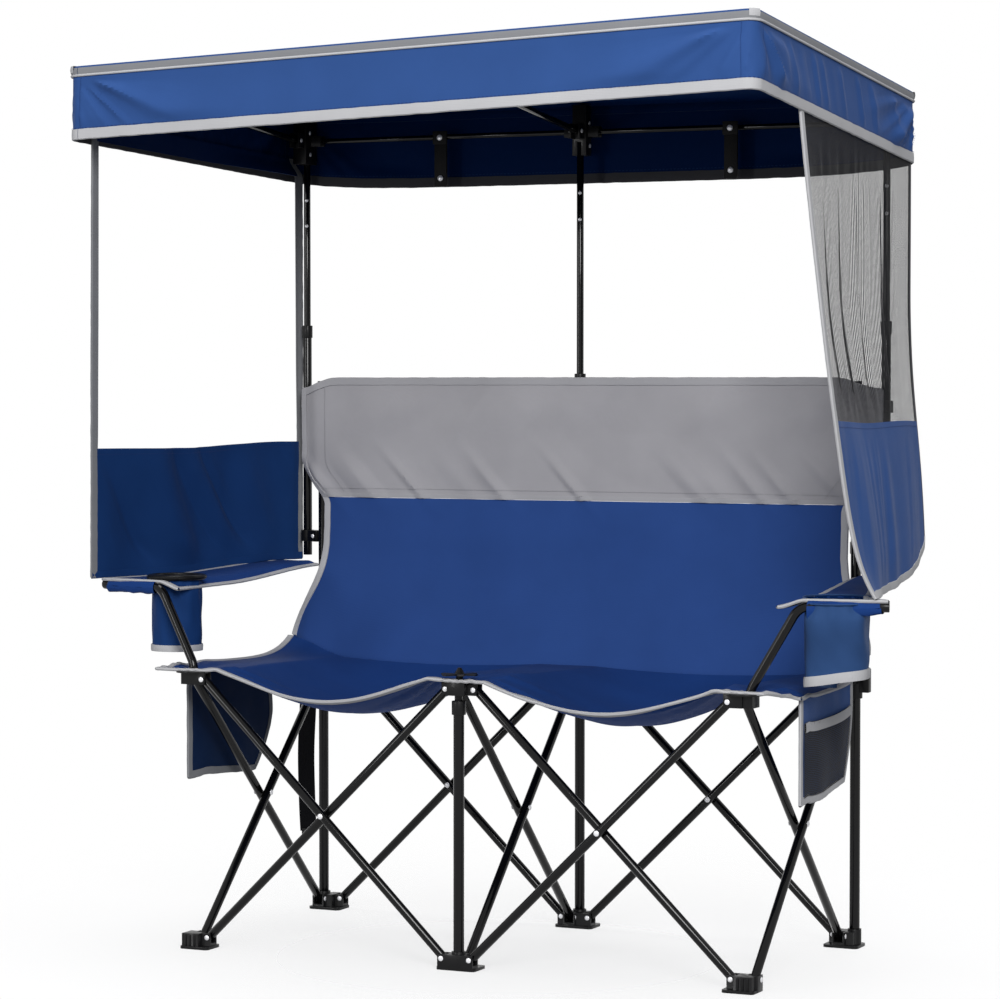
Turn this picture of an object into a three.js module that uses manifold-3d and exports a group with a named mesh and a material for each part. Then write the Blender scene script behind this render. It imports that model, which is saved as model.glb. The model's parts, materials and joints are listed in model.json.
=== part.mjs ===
// Folding two-seat camping chair with a sun canopy: scissor leg frame, telescoping canopy
// posts, fabric seat and back, armrests with a cup holder and a cool bag, side curtains.
// Millimetres, +Z up, the chair faces -Y. Y is measured from the middle of the six feet,
// and the whole model is then shifted so that its box is centred on the origin.
import * as THREE from 'three';
import { mergeVertices } from 'three/addons/utils/BufferGeometryUtils.js';
import Module from 'manifold-3d';

const wasm = await Module();
wasm.setup();

// Leg frame
const bayWidth = 536;         // foot to foot, across, one seat
const depth = 518;            // front foot to rear foot
const pinReachX = 27;         // foot centre to leg pin, across
const pinReachY = 18;         // foot centre to leg pin, front to back
const footPinZ = 20;          // height of the pins in the feet
const hubPinZ = 492;          // height of the pins in the hubs
const legRadius = 8;
const legWall = 1.2;
const legOverhang = 5;       // tube past its end pins
const pairOffset = 9;         // each leg of a crossed pair, off the pair's plane
const pinRadius = 3;
const pinClearance = 0.7;     // pin to hole, on the radius
const rivetHead = 1.5;        // middle rivet past the outer faces of its legs
const pinSides = 6;
const tubeSides = 8;
const slotGap = 0.7;          // leg tube to clevis cheek
const cheek = 3.5;              // clevis cheek thickness
const swingGap = 1.1;         // leg tube end to the floor of its slot
const frontY = -depth / 2;
const rearY = depth / 2;

// Feet and hubs
const baseThick = 5;
const baseRim = 4;            // base plate past the block
const footTopPad = 8;        // block above the foot pins
const footBoss = 3;           // foot's wall round its upright
const bossRise = 4;
const hubTopPad = 14;         // block above the hub pins
const hubLowPad = 10;         // block below the hub pins
const coreHalf = 17;          // half of the square core of a foot or hub
const armPad = 7;            // clevis arm past its pin
const sleeveDrop = 28;        // slider sleeve below its block
const sleeveRise = 4;         // slider sleeve above its block
const stemRadius = 6;         // stem of the front centre hub
const stemRise = 14;
const capRadius = 33;         // reach of the cap's wings over the cloth
const capWing = 12;           // width of each wing
const capRim = 3;             // thickness of the wings
const capDome = 11;           // pointed top of the cap
const knobRadius = 9;
const plateRadius = 32;       // round plate on each front corner hub, under the cloth
const plateThick = 3;
const hubTop = hubPinZ + hubTopPad;

// Uprights, front post and canopy posts
const uprightRadius = 9.5;
const uprightWall = 1.5;
const uprightOut = 12;         // rear upright outside its foot centre
const uprightBack = 6;       // rear upright behind its foot centre
const uprightRise = 524;      // outer uprights above the hubs
const centreRise = 14;        // centre upright above the outer ones
const slideGap = 0.7;         // slider bore to upright, on the radius
const fitGap = 0.3;           // pieces that rest on each other
const sleeveWall = 3;
const postRadius = 8.5;       // lower canopy post
const postWall = 1.2;
const postOut = 48;           // canopy post outside its upright
const postBack = 25;          // canopy post behind its upright
const postGap = 184;          // hubs to the foot of the canopy post
const postRise = 110;         // canopy post above its upright
const poleRadius = 6.6;       // upper canopy pole
const poleWall = 1;
const poleOverlap = 260;      // pole inside its post
const collarWall = 3;
const collarTall = 24;
const clampTall = 22;
const clampUp = 38;           // lower clamp above the foot of its post
const clampDown = 45;         // upper clamp below the top of the upright
const clampTrim = 2;          // clamp web inside the ears
const frontPostDrop = 34;     // front post below the hub's top
const frontPostAhead = 4;     // front post ahead of its foot centre
const innerTubeRadius = 7;
const innerTubeLow = 150;
const uprightX = bayWidth + uprightOut;
const uprightY = rearY + uprightBack;
const uprightTop = hubTop + uprightRise;
const centreTop = uprightTop + centreRise;
const postX = uprightX + postOut;
const postY = uprightY + postBack;
const postLow = hubTop + postGap;
const postTop = uprightTop + postRise;
const clampLow = postLow + clampUp;
const clampHigh = uprightTop - clampDown;
const frontPostTop = hubTop - frontPostDrop;

// Canopy
const canopyOver = 48;        // canopy edge outside its posts
const canopyReach = 246;      // canopy ahead of the front feet
const canopyBehind = 22;      // canopy behind its posts
const canopyRise = 412;       // rear edge above the canopy posts
const canopyFall = 52;        // front edge above the rear edge
const valance = 126;
const canopySkin = 3;
const canopyCell = 300;       // longest facet of the canopy
const canopyCorner = 22;
const canopyTwist = 22;       // front right corner raised and front left one lowered by this
const tiltAhead = 21;         // hinge line of the arms ahead of the uprights
const tiltDrop = 52;          // hinge line below the rear edge
const armRadius = 6.5;
const armTail = 7;            // canopy arm past its hinge
const armDrop = 4;            // canopy arm below the cloth at its tip
const hubHalf = 14;
const hubDrop = 45;           // canopy hub below the hinge line
const hubSocket = 25;         // depth of the pole's socket
const hubPinRadius = 2.5;
const slotEnd = 8;            // arm slot behind the arm
const slotWall = 1;
const earWall = 4;
const earPad = 8;             // strut ear past its pin
const earHalfTall = 10;
const strutRadius = 5;
const strutBack = 19;         // struts behind the uprights
const strutOffset = 6;        // the two halves of a strut lie side by side
const strutReach = 27;        // strut pin from the hub centre
const strutTail = 8;          // strut past its pin
const knuckleTail = 6;        // strut past the knuckle
const bracketDrop = 95;
const bracketHalf = 13;
const bracketThick = 5;
const canopyHalf = postX + canopyOver;
const canopyFront = frontY - canopyReach;
const canopyRear = postY + canopyBehind;
const canopyRearTop = postTop + canopyRise;
const canopyFrontTop = canopyRearTop + canopyFall;
const tiltAxisY = uprightY - tiltAhead;
const tiltAxisZ = canopyRearTop - tiltDrop;
const hubLow = tiltAxisZ - hubDrop;
const strutY = uprightY + strutBack;

// Seat and back
const cloth = 2;
const seatOver = 69;          // seat cloth outside the outer hubs
const seatTaper = 15;         // seat narrower at the crease
const seatLip = 17;           // seat cloth ahead of the front hubs
const creaseAhead = 59;       // crease ahead of the rear feet
const creaseRise = 8;        // crease above the hub pins
const seatDipFront = 46;
const seatDipMiddle = 53;
const seatDipRear = 8;
const seatRound = 1.85;       // 1 is a straight fall from the hubs, 2 a round one
const seatHold = 55;          // cloth held level this far from a hub centre
const holeGap = 2;            // seat hole round an arm tube
const seamRise = 306;         // seam of the grey top above the crease
const backOver = 6;           // back cloth above the outer uprights
const backBend = 220;         // height over which the back curves up from the crease
const edgeLift = 40;          // crease raised at the side edges
const seatCells = 44;         // facets across the seat and the back
const edgeShare = 0.78;       // from this share of the half width
const waistOut = 10;           // back's waist outside the outer hubs
const waistFlare = 1.6;
const waistRise = 200;
const shoulderOut = 40;       // back's top outside the outer hubs
const shoulderLow = 16;       // shoulder starts below the seam
const shoulderHigh = 74;      // shoulder ends above the seam
const backBillow = 7;
const seatHalf = bayWidth + seatOver;
const seatFront = frontY - seatLip;
const creaseY = rearY - creaseAhead;
const creaseZ = hubPinZ + creaseRise;
const seamZ = creaseZ + seamRise;
const backTop = uprightTop + backOver;

// Arms, cup holder and cool bag
const armTubeRadius = 8;
const armTubeWall = 1.2;
const armSocket = 2;          // arm tube below the hub pins
const armBendOut = 84;        // upper bend outside the hub
const armBendBack = 27;       // upper bend behind the hub
const armBend = 22;           // length of the upper bend along its runs
const armFootBend = 10;       // length of the lower bend
const armStraight = 1;        // straight tube above the hub
const armEndOut = 227;
const armEndBack = 67;
const armRise = 148;          // arm tube above the hubs
const armRearRise = 6;
const armRiseStart = 199;     // arm starts to rise this far behind the front hubs
const armInnerGap = 6;        // armrest outside the upright, at its rear
const armCornerOut = 46;      // inner front corner of the armrest outside and behind the hub
const armCornerBack = 25;
const armDroopShare = 0.25;   // droop fades over this share of the armrest
const armDroop = 12;          // inner front corner below the tube's height
const armTuck = 38;           // right armrest's edge drawn in behind the tube's end
const armTuckShare = 0.16;
const armEndLip = 8;          // armrest ahead of the tube's end
const armRearGap = 3;
const cupOut = 88;            // cup holder outside and behind the hub
const cupBack = 90;
const cupRadius = 47;
const cupWall = 2;
const cupDepth = 133;
const cupRim = 7;
const cupRimTall = 4;
const cupRound = 6;           // rounded edge of the floor
const cupGap = 1.5;           // rim hole in the armrest
const bagOut = 122;           // cool bag outside and behind the hub
const bagBack = 109;
const bagRadius = 55;
const bagDepth = 146;
const armBendX = bayWidth + armBendOut;
const armEndX = bayWidth + armEndOut;
const armEndY = frontY + armEndBack;
const armTubeZ = hubTop + armRise;
const cupX = bayWidth + cupOut;
const cupY = frontY + cupBack;
const bagX = bayWidth + bagOut;
const bagY = frontY + bagBack;

// Side curtains, pockets and strap
const curtainTuck = 42;       // curtain inside the valance
const leftSetback = 83;       // left curtain's front edge behind the canopy's front
const rightSetback = 215;
const curtainLap = 12;        // rear edge behind the canopy post
const leftHem = 10;           // hem's front corner inside the armrest's edge
const rightHem = 35;
const curtainLow = 6;         // hem above the armrest
const leftLead = 29;          // hem's front corner ahead of the arm tube's end
const rightLead = 14;
const rightHemRise = 0.06;    // right hem's rear corner raised, share of the curtain
const hemRound = 0.6;         // from this share of the curtain's depth
const foldStart = 0.55;       // folds run out between these shares of the curtain
const foldEnd = 0.95;
const leanStart = 0.35;       // curtain leans out below this share
const leanLead = 0.3;         // straight front edge blends over this share
const curtainFree = 0.08;     // share of the curtain held inside the valance
const rightBow = 1.6;         // right front edge bows in
const curtainRows = 8;
const curtainEase = 0.6;      // clearance in the canopy's rounded corner
const curtainTurn = 12;
const curtainFolds = 9;
const curtainFoldDepth = 6;
const windowEdge = 0.025;     // left window, shares of the curtain
const windowTop = 0.075;
const windowLow = 0.65;
const pocketIn = 9;           // pocket inside the seat's edge
const pocketBulge = 4;
const pocketSlope = 6;
const pocketTall = 188;
const leftPocketStart = 80;   // pockets behind the front hubs
const rightPocketStart = 76;
const leftPocketLong = 300;
const rightPocketLong = 316;
const rightPocketTaper = 46;
const strapWide = 36;
const strapBack = 4;
const strapOut = 8;           // strap outside the left slider
const strapTab = 12;          // tab that ties the strap to the slider
const strapLong = 360;
const strapThick = 2;

const holeRadius = pinRadius + pinClearance;
const slotHalf = legRadius + slotGap;
const armHalf = slotHalf + cheek;
const swing = Math.hypot(legOverhang, legRadius) + swingGap;
const cut = 1;                // cutting tools run past the faces they cut

const steel = (color) => new THREE.MeshStandardMaterial({ color, roughness: 0.45, metalness: 0.6 });
const plastic = () => new THREE.MeshStandardMaterial({ color: 0x141416, roughness: 0.55, metalness: 0 });
const fabric = (color) => new THREE.MeshStandardMaterial({ color, roughness: 0.9, metalness: 0 });
const black = 0x17181a;
const blue = 0x24385c;
const grey = 0x9a9ea3;

const chair = new THREE.Group();
chair.position.y = -(canopyFront + canopyRear) / 2;

// Solids

function solidOf(geometry) {
  const flat = geometry.clone();
  flat.deleteAttribute('normal');
  flat.deleteAttribute('uv');
  const merged = mergeVertices(flat, 1e-4);
  const mesh = new wasm.Mesh({
    numProp: 3,
    vertProperties: new Float32Array(merged.attributes.position.array),
    triVerts: new Uint32Array(merged.index.array),
  });
  return new wasm.Manifold(mesh);
}

function geometryOf(solid) {
  const mesh = solid.getMesh();
  const geometry = new THREE.BufferGeometry();
  geometry.setAttribute('position', new THREE.BufferAttribute(new Float32Array(mesh.vertProperties), 3));
  geometry.setIndex(new THREE.BufferAttribute(new Uint32Array(mesh.triVerts), 1));
  geometry.computeVertexNormals();
  return geometry;
}

function addPiece(name, solid, material) {
  const mesh = new THREE.Mesh(geometryOf(solid), material);
  mesh.name = name;
  chair.add(mesh);
}

const joinAll = (solids) => solids.reduce((whole, next) => whole.add(next));
const vec = (x, y, z) => new THREE.Vector3(x, y, z);
const at = (place, z) => place.clone().setZ(z);

function block(x0, x1, y0, y1, z0, z1) {
  const geometry = new THREE.BoxGeometry(Math.abs(x1 - x0), Math.abs(y1 - y0), Math.abs(z1 - z0));
  geometry.translate((x0 + x1) / 2, (y0 + y1) / 2, (z0 + z1) / 2);
  return solidOf(geometry);
}

function rod(from, to, radius, sides = 12) {
  const along = to.clone().sub(from);
  const geometry = new THREE.CylinderGeometry(radius, radius, along.length(), sides);
  const turn = new THREE.Quaternion().setFromUnitVectors(vec(0, 1, 0), along.clone().normalize());
  geometry.applyQuaternion(turn);
  const middle = from.clone().add(to).multiplyScalar(0.5);
  geometry.translate(middle.x, middle.y, middle.z);
  return solidOf(geometry);
}

function pipe(from, to, radius, wall, sides = 12) {
  const along = to.clone().sub(from).normalize();
  const bore = rod(from.clone().addScaledVector(along, -cut), to.clone().addScaledVector(along, cut),
    radius - wall, sides);
  return rod(from, to, radius, sides).subtract(bore);
}

// A tube along straight runs with a rounded bend at each inner point
function bentPipe(points, bends, radius, wall, steps, sides = 8) {
  const path = new THREE.CurvePath();
  let start = points[0];
  for (let k = 1; k < points.length - 1; k++) {
    const corner = points[k];
    const bend = bends[k - 1];
    const enter = corner.clone().addScaledVector(start.clone().sub(corner).normalize(), bend);
    const leave = corner.clone().addScaledVector(points[k + 1].clone().sub(corner).normalize(), bend);
    path.add(new THREE.LineCurve3(start, enter));
    path.add(new THREE.QuadraticBezierCurve3(enter, corner, leave));
    start = leave;
  }
  path.add(new THREE.LineCurve3(start, points[points.length - 1]));
  const ring = (r) => new THREE.Path().absarc(0, 0, r, 0, 2 * Math.PI).getSpacedPoints(sides).slice(0, -1);
  const shape = new THREE.Shape(ring(radius));
  shape.holes.push(new THREE.Path(ring(radius - wall)));
  return solidOf(new THREE.ExtrudeGeometry(shape, { steps, extrudePath: path, bevelEnabled: false }));
}

// A sheet of cloth with a thickness: point(s, t) runs over the unit square
function sheet(point, acrossSteps, alongSteps, normal, thickness = cloth) {
  const positions = [];
  const index = [];
  const row = acrossSteps + 1;
  const layer = row * (alongSteps + 1);
  for (const side of [0.5, -0.5]) {
    for (let j = 0; j <= alongSteps; j++) {
      for (let i = 0; i <= acrossSteps; i++) {
        const p = point(i / acrossSteps, j / alongSteps).addScaledVector(normal, side * thickness);
        positions.push(p.x, p.y, p.z);
      }
    }
  }
  const quad = (a, b, c, d) => index.push(a, b, c, a, c, d);
  for (let j = 0; j < alongSteps; j++) {
    for (let i = 0; i < acrossSteps; i++) {
      const a = j * row + i;
      quad(a, a + 1, a + row + 1, a + row);
      quad(layer + a, layer + a + row, layer + a + row + 1, layer + a + 1);
    }
  }
  for (let i = 0; i < acrossSteps; i++) {
    const far = alongSteps * row + i;
    quad(i, layer + i, layer + i + 1, i + 1);
    quad(far, far + 1, layer + far + 1, layer + far);
  }
  for (let j = 0; j < alongSteps; j++) {
    const near = j * row;
    const far = near + acrossSteps;
    quad(near, near + row, layer + near + row, layer + near);
    quad(far, layer + far, layer + far + row, far + row);
  }
  const geometry = new THREE.BufferGeometry();
  geometry.setAttribute('position', new THREE.Float32BufferAttribute(positions, 3));
  geometry.setIndex(index);
  return solidOf(geometry);
}

const mix = THREE.MathUtils.lerp;
const ease = (value, low, high) => THREE.MathUtils.smoothstep(value, low, high);

// Crossed legs. A pair stands in the plane between two columns of foot and hub: the first leg
// carries the middle rivet, the second turns on it.

function crossedPair(name, near, far, lateral) {
  const run = far.clone().sub(near).normalize();
  const reach = Math.abs(run.x) > 0.5 ? pinReachX : pinReachY;
  const low = (column, towards, off) => column.clone().addScaledVector(run, towards * reach)
    .addScaledVector(lateral, off).setZ(footPinZ);
  const high = (column, towards, off) => low(column, towards, off).setZ(hubPinZ);
  const across = (p, r) => rod(
    p.clone().addScaledVector(lateral, -2 * legRadius),
    p.clone().addScaledVector(lateral, 2 * legRadius), r, pinSides);
  const leg = (from, to) => {
    const along = to.clone().sub(from).normalize().multiplyScalar(legOverhang);
    return pipe(from.clone().sub(along), to.clone().add(along), legRadius, legWall, tubeSides)
      .subtract(across(from, holeRadius)).subtract(across(to, holeRadius));
  };
  const firstLow = low(near, 1, -pairOffset);
  const firstHigh = high(far, -1, -pairOffset);
  const secondLow = low(far, -1, pairOffset);
  const secondHigh = high(near, 1, pairOffset);
  const middle = firstLow.clone().add(firstHigh).multiplyScalar(0.5);
  const rivet = rod(
    middle.clone().addScaledVector(lateral, -legRadius - rivetHead),
    middle.clone().addScaledVector(lateral, 2 * pairOffset + legRadius + rivetHead), pinRadius, pinSides);
  const secondMiddle = middle.clone().addScaledVector(lateral, 2 * pairOffset);
  addPiece(`${name}_first_leg`, leg(firstLow, firstHigh).add(rivet), steel(black));
  const second = leg(secondLow, secondHigh).subtract(across(secondMiddle, holeRadius));
  addPiece(`${name}_second_leg`, second, steel(black));
}

const frontLeft = vec(-bayWidth, frontY, 0);
const frontCentre = vec(0, frontY, 0);
const frontRight = vec(bayWidth, frontY, 0);
const rearLeft = vec(-bayWidth, rearY, 0);
const rearCentre = vec(0, rearY, 0);
const rearRight = vec(bayWidth, rearY, 0);
const alongX = vec(1, 0, 0);
const alongY = vec(0, 1, 0);

crossedPair('front_left', frontCentre, frontLeft, alongY);
crossedPair('front_right', frontCentre, frontRight, alongY);
crossedPair('rear_left', rearCentre, rearLeft, alongY);
crossedPair('rear_right', rearCentre, rearRight, alongY);
crossedPair('left_side', rearLeft, frontLeft, alongX);
crossedPair('centre', rearCentre, frontCentre, alongX);
crossedPair('right_side', rearRight, frontRight, alongX);

// Feet and hubs. A port is one clevis: the way it points and its leg's offset.

const port = (dx, dy, off) => ({ dx, dy, off });

function clevisArms(centre, ports, low, high, pinZ, slotLow, slotHigh) {
  const parts = { solid: [], slots: [], pins: [] };
  for (const { dx, dy, off } of ports) {
    const reach = dx ? pinReachX : pinReachY;
    const end = reach + armPad;
    const start = reach - swing;
    const { x, y } = centre;
    const place = (from, to, half, z0, z1) => (dx
      ? block(x + dx * from, x + dx * to, y + off - half, y + off + half, z0, z1)
      : block(x + off - half, x + off + half, y + dy * from, y + dy * to, z0, z1));
    parts.solid.push(place(0, end, armHalf, low, high));
    parts.slots.push(place(start, end + cut, slotHalf, slotLow, slotHigh));
    const pin = at(centre, pinZ);
    const lateral = dx ? alongY : alongX;
    pin.addScaledVector(dx ? alongX : alongY, (dx + dy) * reach).addScaledVector(lateral, off);
    parts.pins.push(rod(
      pin.clone().addScaledVector(lateral, -slotHalf - cheek / 2),
      pin.clone().addScaledVector(lateral, slotHalf + cheek / 2), pinRadius, pinSides));
  }
  return parts;
}

function basePlate(centre, ports, tubePlace, boss) {
  const reach = { left: coreHalf, right: coreHalf, front: coreHalf, rear: coreHalf };
  if (tubePlace) {
    reach.left = Math.max(reach.left, centre.x - tubePlace.x + boss);
    reach.right = Math.max(reach.right, tubePlace.x - centre.x + boss);
    reach.front = Math.max(reach.front, centre.y - tubePlace.y + boss);
    reach.rear = Math.max(reach.rear, tubePlace.y - centre.y + boss);
  }
  for (const { dx, dy } of ports) {
    if (dx > 0) reach.right = pinReachX + armPad;
    if (dx < 0) reach.left = pinReachX + armPad;
    if (dy > 0) reach.rear = pinReachY + armPad;
    if (dy < 0) reach.front = pinReachY + armPad;
  }
  const x0 = centre.x - reach.left - baseRim;
  const x1 = centre.x + reach.right + baseRim;
  const y0 = centre.y - reach.front - baseRim;
  const y1 = centre.y + reach.rear + baseRim;
  const round = 2 * baseRim;
  const shape = new THREE.Shape();
  shape.moveTo(x0 + round, y0);
  shape.lineTo(x1 - round, y0);
  shape.absarc(x1 - round, y0 + round, round, -Math.PI / 2, 0);
  shape.absarc(x1 - round, y1 - round, round, 0, Math.PI / 2);
  shape.absarc(x0 + round, y1 - round, round, Math.PI / 2, Math.PI);
  shape.absarc(x0 + round, y0 + round, round, Math.PI, 1.5 * Math.PI);
  const plate = new THREE.ExtrudeGeometry(shape, { depth: baseThick, bevelEnabled: false, curveSegments: 3 });
  return solidOf(plate);
}

function foot(name, centre, ports, tubePlace, tubeRadius) {
  const top = footPinZ + footTopPad;
  const boss = tubePlace ? tubeRadius + fitGap + footBoss : 0;
  const arms = clevisArms(centre, ports, 0, top, footPinZ, footPinZ - swing, top + cut);
  let solid = joinAll([
    basePlate(centre, ports, tubePlace, boss),
    block(centre.x - coreHalf, centre.x + coreHalf, centre.y - coreHalf, centre.y + coreHalf, 0, top),
    ...arms.solid,
  ]);
  solid = joinAll([arms.slots.reduce((rest, slot) => rest.subtract(slot), solid), ...arms.pins]);
  if (tubePlace) {
    const socket = rod(
      at(tubePlace, baseThick), at(tubePlace, top + bossRise + cut), tubeRadius + fitGap);
    solid = solid.add(rod(at(tubePlace, 0), at(tubePlace, top + bossRise), boss)).subtract(socket);
  }
  addPiece(name, solid, plastic());
}

const outerUpright = (side) => vec(side * uprightX, uprightY, 0);
const centreUpright = vec(0, uprightY, 0);
const frontPostPlace = vec(0, frontY - frontPostAhead, 0);
const ahead = -pairOffset;
const behind = pairOffset;

foot('front_left_foot', frontLeft, [port(1, 0, behind), port(0, 1, behind)]);
foot('front_right_foot', frontRight, [port(-1, 0, behind), port(0, 1, behind)]);
foot('front_centre_foot', frontCentre,
  [port(-1, 0, ahead), port(1, 0, ahead), port(0, 1, behind)], frontPostPlace, uprightRadius);
foot('rear_left_foot', rearLeft, [port(1, 0, behind), port(0, -1, ahead)], outerUpright(-1), uprightRadius);
foot('rear_right_foot', rearRight, [port(-1, 0, behind), port(0, -1, ahead)], outerUpright(1), uprightRadius);
foot('rear_centre_foot', rearCentre,
  [port(-1, 0, ahead), port(1, 0, ahead), port(0, -1, ahead)], centreUpright, uprightRadius);

function hubSolid(centre, ports) {
  const low = hubPinZ - hubLowPad;
  const arms = clevisArms(centre, ports, low, hubTop, hubPinZ, low - cut, hubPinZ + swing);
  const core = block(
    centre.x - coreHalf, centre.x + coreHalf, centre.y - coreHalf, centre.y + coreHalf, low, hubTop);
  const whole = joinAll([core, ...arms.solid]);
  return joinAll([arms.slots.reduce((rest, slot) => rest.subtract(slot), whole), ...arms.pins]);
}

function sliderHub(name, centre, ports, tubePlace) {
  const low = at(tubePlace, hubPinZ - hubLowPad - sleeveDrop);
  const high = at(tubePlace, hubTop + sleeveRise);
  const bore = rod(at(low, low.z - cut), at(high, high.z + cut), uprightRadius + slideGap);
  const sleeve = rod(low, high, uprightRadius + slideGap + sleeveWall);
  addPiece(name, hubSolid(centre, ports).add(sleeve).subtract(bore), plastic());
}

sliderHub('rear_left_slider', rearLeft, [port(1, 0, ahead), port(0, -1, behind)], outerUpright(-1));
sliderHub('rear_right_slider', rearRight, [port(-1, 0, ahead), port(0, -1, behind)], outerUpright(1));
sliderHub('rear_centre_slider', rearCentre,
  [port(-1, 0, behind), port(1, 0, behind), port(0, -1, behind)], centreUpright);

function cornerHub(name, centre, ports) {
  const socket = rod(
    at(centre, hubPinZ - armSocket), at(centre, hubTop + cut), armTubeRadius + slideGap);
  const plate = rod(at(centre, hubTop - plateThick), at(centre, hubTop), plateRadius, 24);
  addPiece(name, hubSolid(centre, ports).add(plate).subtract(socket), plastic());
}

cornerHub('front_left_hub', frontLeft, [port(1, 0, ahead), port(0, 1, ahead)]);
cornerHub('front_right_hub', frontRight, [port(-1, 0, ahead), port(0, 1, ahead)]);

const stemTop = hubTop + stemRise;
const innerTube = pipe(
  at(frontPostPlace, innerTubeLow), at(frontPostPlace, hubPinZ), innerTubeRadius, legWall);
const knobProfile = [
  [0, stemTop - capRim], [knobRadius, stemTop - capRim], [knobRadius, stemTop],
  [0.4 * knobRadius, stemTop + capDome - 1], [0, stemTop + capDome],
].map(([r, z]) => new THREE.Vector2(r, z));
const knob = solidOf(new THREE.LatheGeometry(knobProfile, 12).rotateX(Math.PI / 2)
  .translate(frontCentre.x, frontCentre.y, 0));
const wings = [0, 60, 120].map((turn) => block(
  -capRadius, capRadius, -capWing / 2, capWing / 2, stemTop - capRim, stemTop)
  .rotate([0, 0, turn]).translate([frontCentre.x, frontCentre.y, 0]));
const stem = rod(
  at(frontCentre, hubTop - capRim), at(frontCentre, stemTop - capRim / 2), stemRadius);
addPiece('front_centre_hub', joinAll([
  hubSolid(frontCentre, [port(-1, 0, behind), port(1, 0, behind), port(0, 1, ahead)]),
  innerTube, stem, knob, ...wings,
]), plastic());

// Uprights and the front post stand in their feet

const standing = baseThick + fitGap;
function upright(name, place, top) {
  const tube = pipe(at(place, standing), at(place, top), uprightRadius, uprightWall);
  addPiece(name, tube, steel(black));
}
upright('rear_left_upright', outerUpright(-1), uprightTop);
upright('rear_right_upright', outerUpright(1), uprightTop);
upright('rear_centre_upright', centreUpright, centreTop);

const collar = (place, z, radius) => pipe(
  at(place, z - collarTall), at(place, z), radius + collarWall, collarWall + uprightWall / 2);
addPiece('front_post', pipe(
  at(frontPostPlace, standing), at(frontPostPlace, frontPostTop), uprightRadius, uprightWall)
  .add(collar(frontPostPlace, frontPostTop, uprightRadius)), steel(black));

// Canopy posts: a lower tube clamped behind each outer upright, a pole that slides in it

const canopySlope = (canopyRearTop - canopyFrontTop) / (canopyRear - canopyFront);
const canopyTopAt = (x, y) => {
  const twist = canopyTwist * x / canopyHalf * (canopyRear - y) / (canopyRear - canopyFront);
  return canopyFrontTop + canopySlope * (y - canopyFront) + twist;
};
const canopyUnder = (x, y) => canopyTopAt(x, y) - canopySkin - fitGap;
const poleTop = hubLow + hubSocket;

for (const [label, side] of [['left', -1], ['right', 1]]) {
  const place = vec(side * postX, postY, 0);
  const tube = outerUpright(side);
  const clamp = (z) => {
    const web = place.clone().sub(tube);
    const length = web.length();
    const earRadius = uprightRadius + sleeveWall;
    const geometry = new THREE.BoxGeometry(length, 2 * (earRadius - clampTrim), clampTall);
    geometry.rotateZ(Math.atan2(web.y, web.x));
    geometry.translate((place.x + tube.x) / 2, (place.y + tube.y) / 2, z);
    const reach = (radius, half) => rod(at(tube, z - half), at(tube, z + half), radius);
    const ears = reach(earRadius, clampTall / 2);
    const seat = reach(uprightRadius + fitGap, clampTall);
    const open = block(tube.x - length, tube.x + length, tube.y - length, tube.y - uprightRadius / 2,
      z - clampTall, z + clampTall);
    return solidOf(geometry).add(ears).subtract(seat).subtract(open);
  };
  const bore = rod(at(place, postLow - cut), at(place, postTop + cut), postRadius - postWall);
  const outer = joinAll([
    rod(at(place, postLow), at(place, postTop), postRadius),
    rod(at(place, postTop - collarTall), at(place, postTop), postRadius + collarWall),
    clamp(clampLow), clamp(clampHigh),
  ]).subtract(bore);
  addPiece(`${label}_canopy_post`, outer, steel(black));
  const pole = pipe(
    at(place, postTop - poleOverlap), at(place, poleTop), poleRadius, poleWall);
  addPiece(`${label}_canopy_pole`, pole, steel(black));
}
addPiece('centre_canopy_pole', pipe(
  at(centreUpright, centreTop - poleOverlap), at(centreUpright, poleTop), poleRadius, poleWall),
steel(black));

// Canopy hubs: a block on each pole, cheeks for the tilting arm in front, ears for the struts

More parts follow.
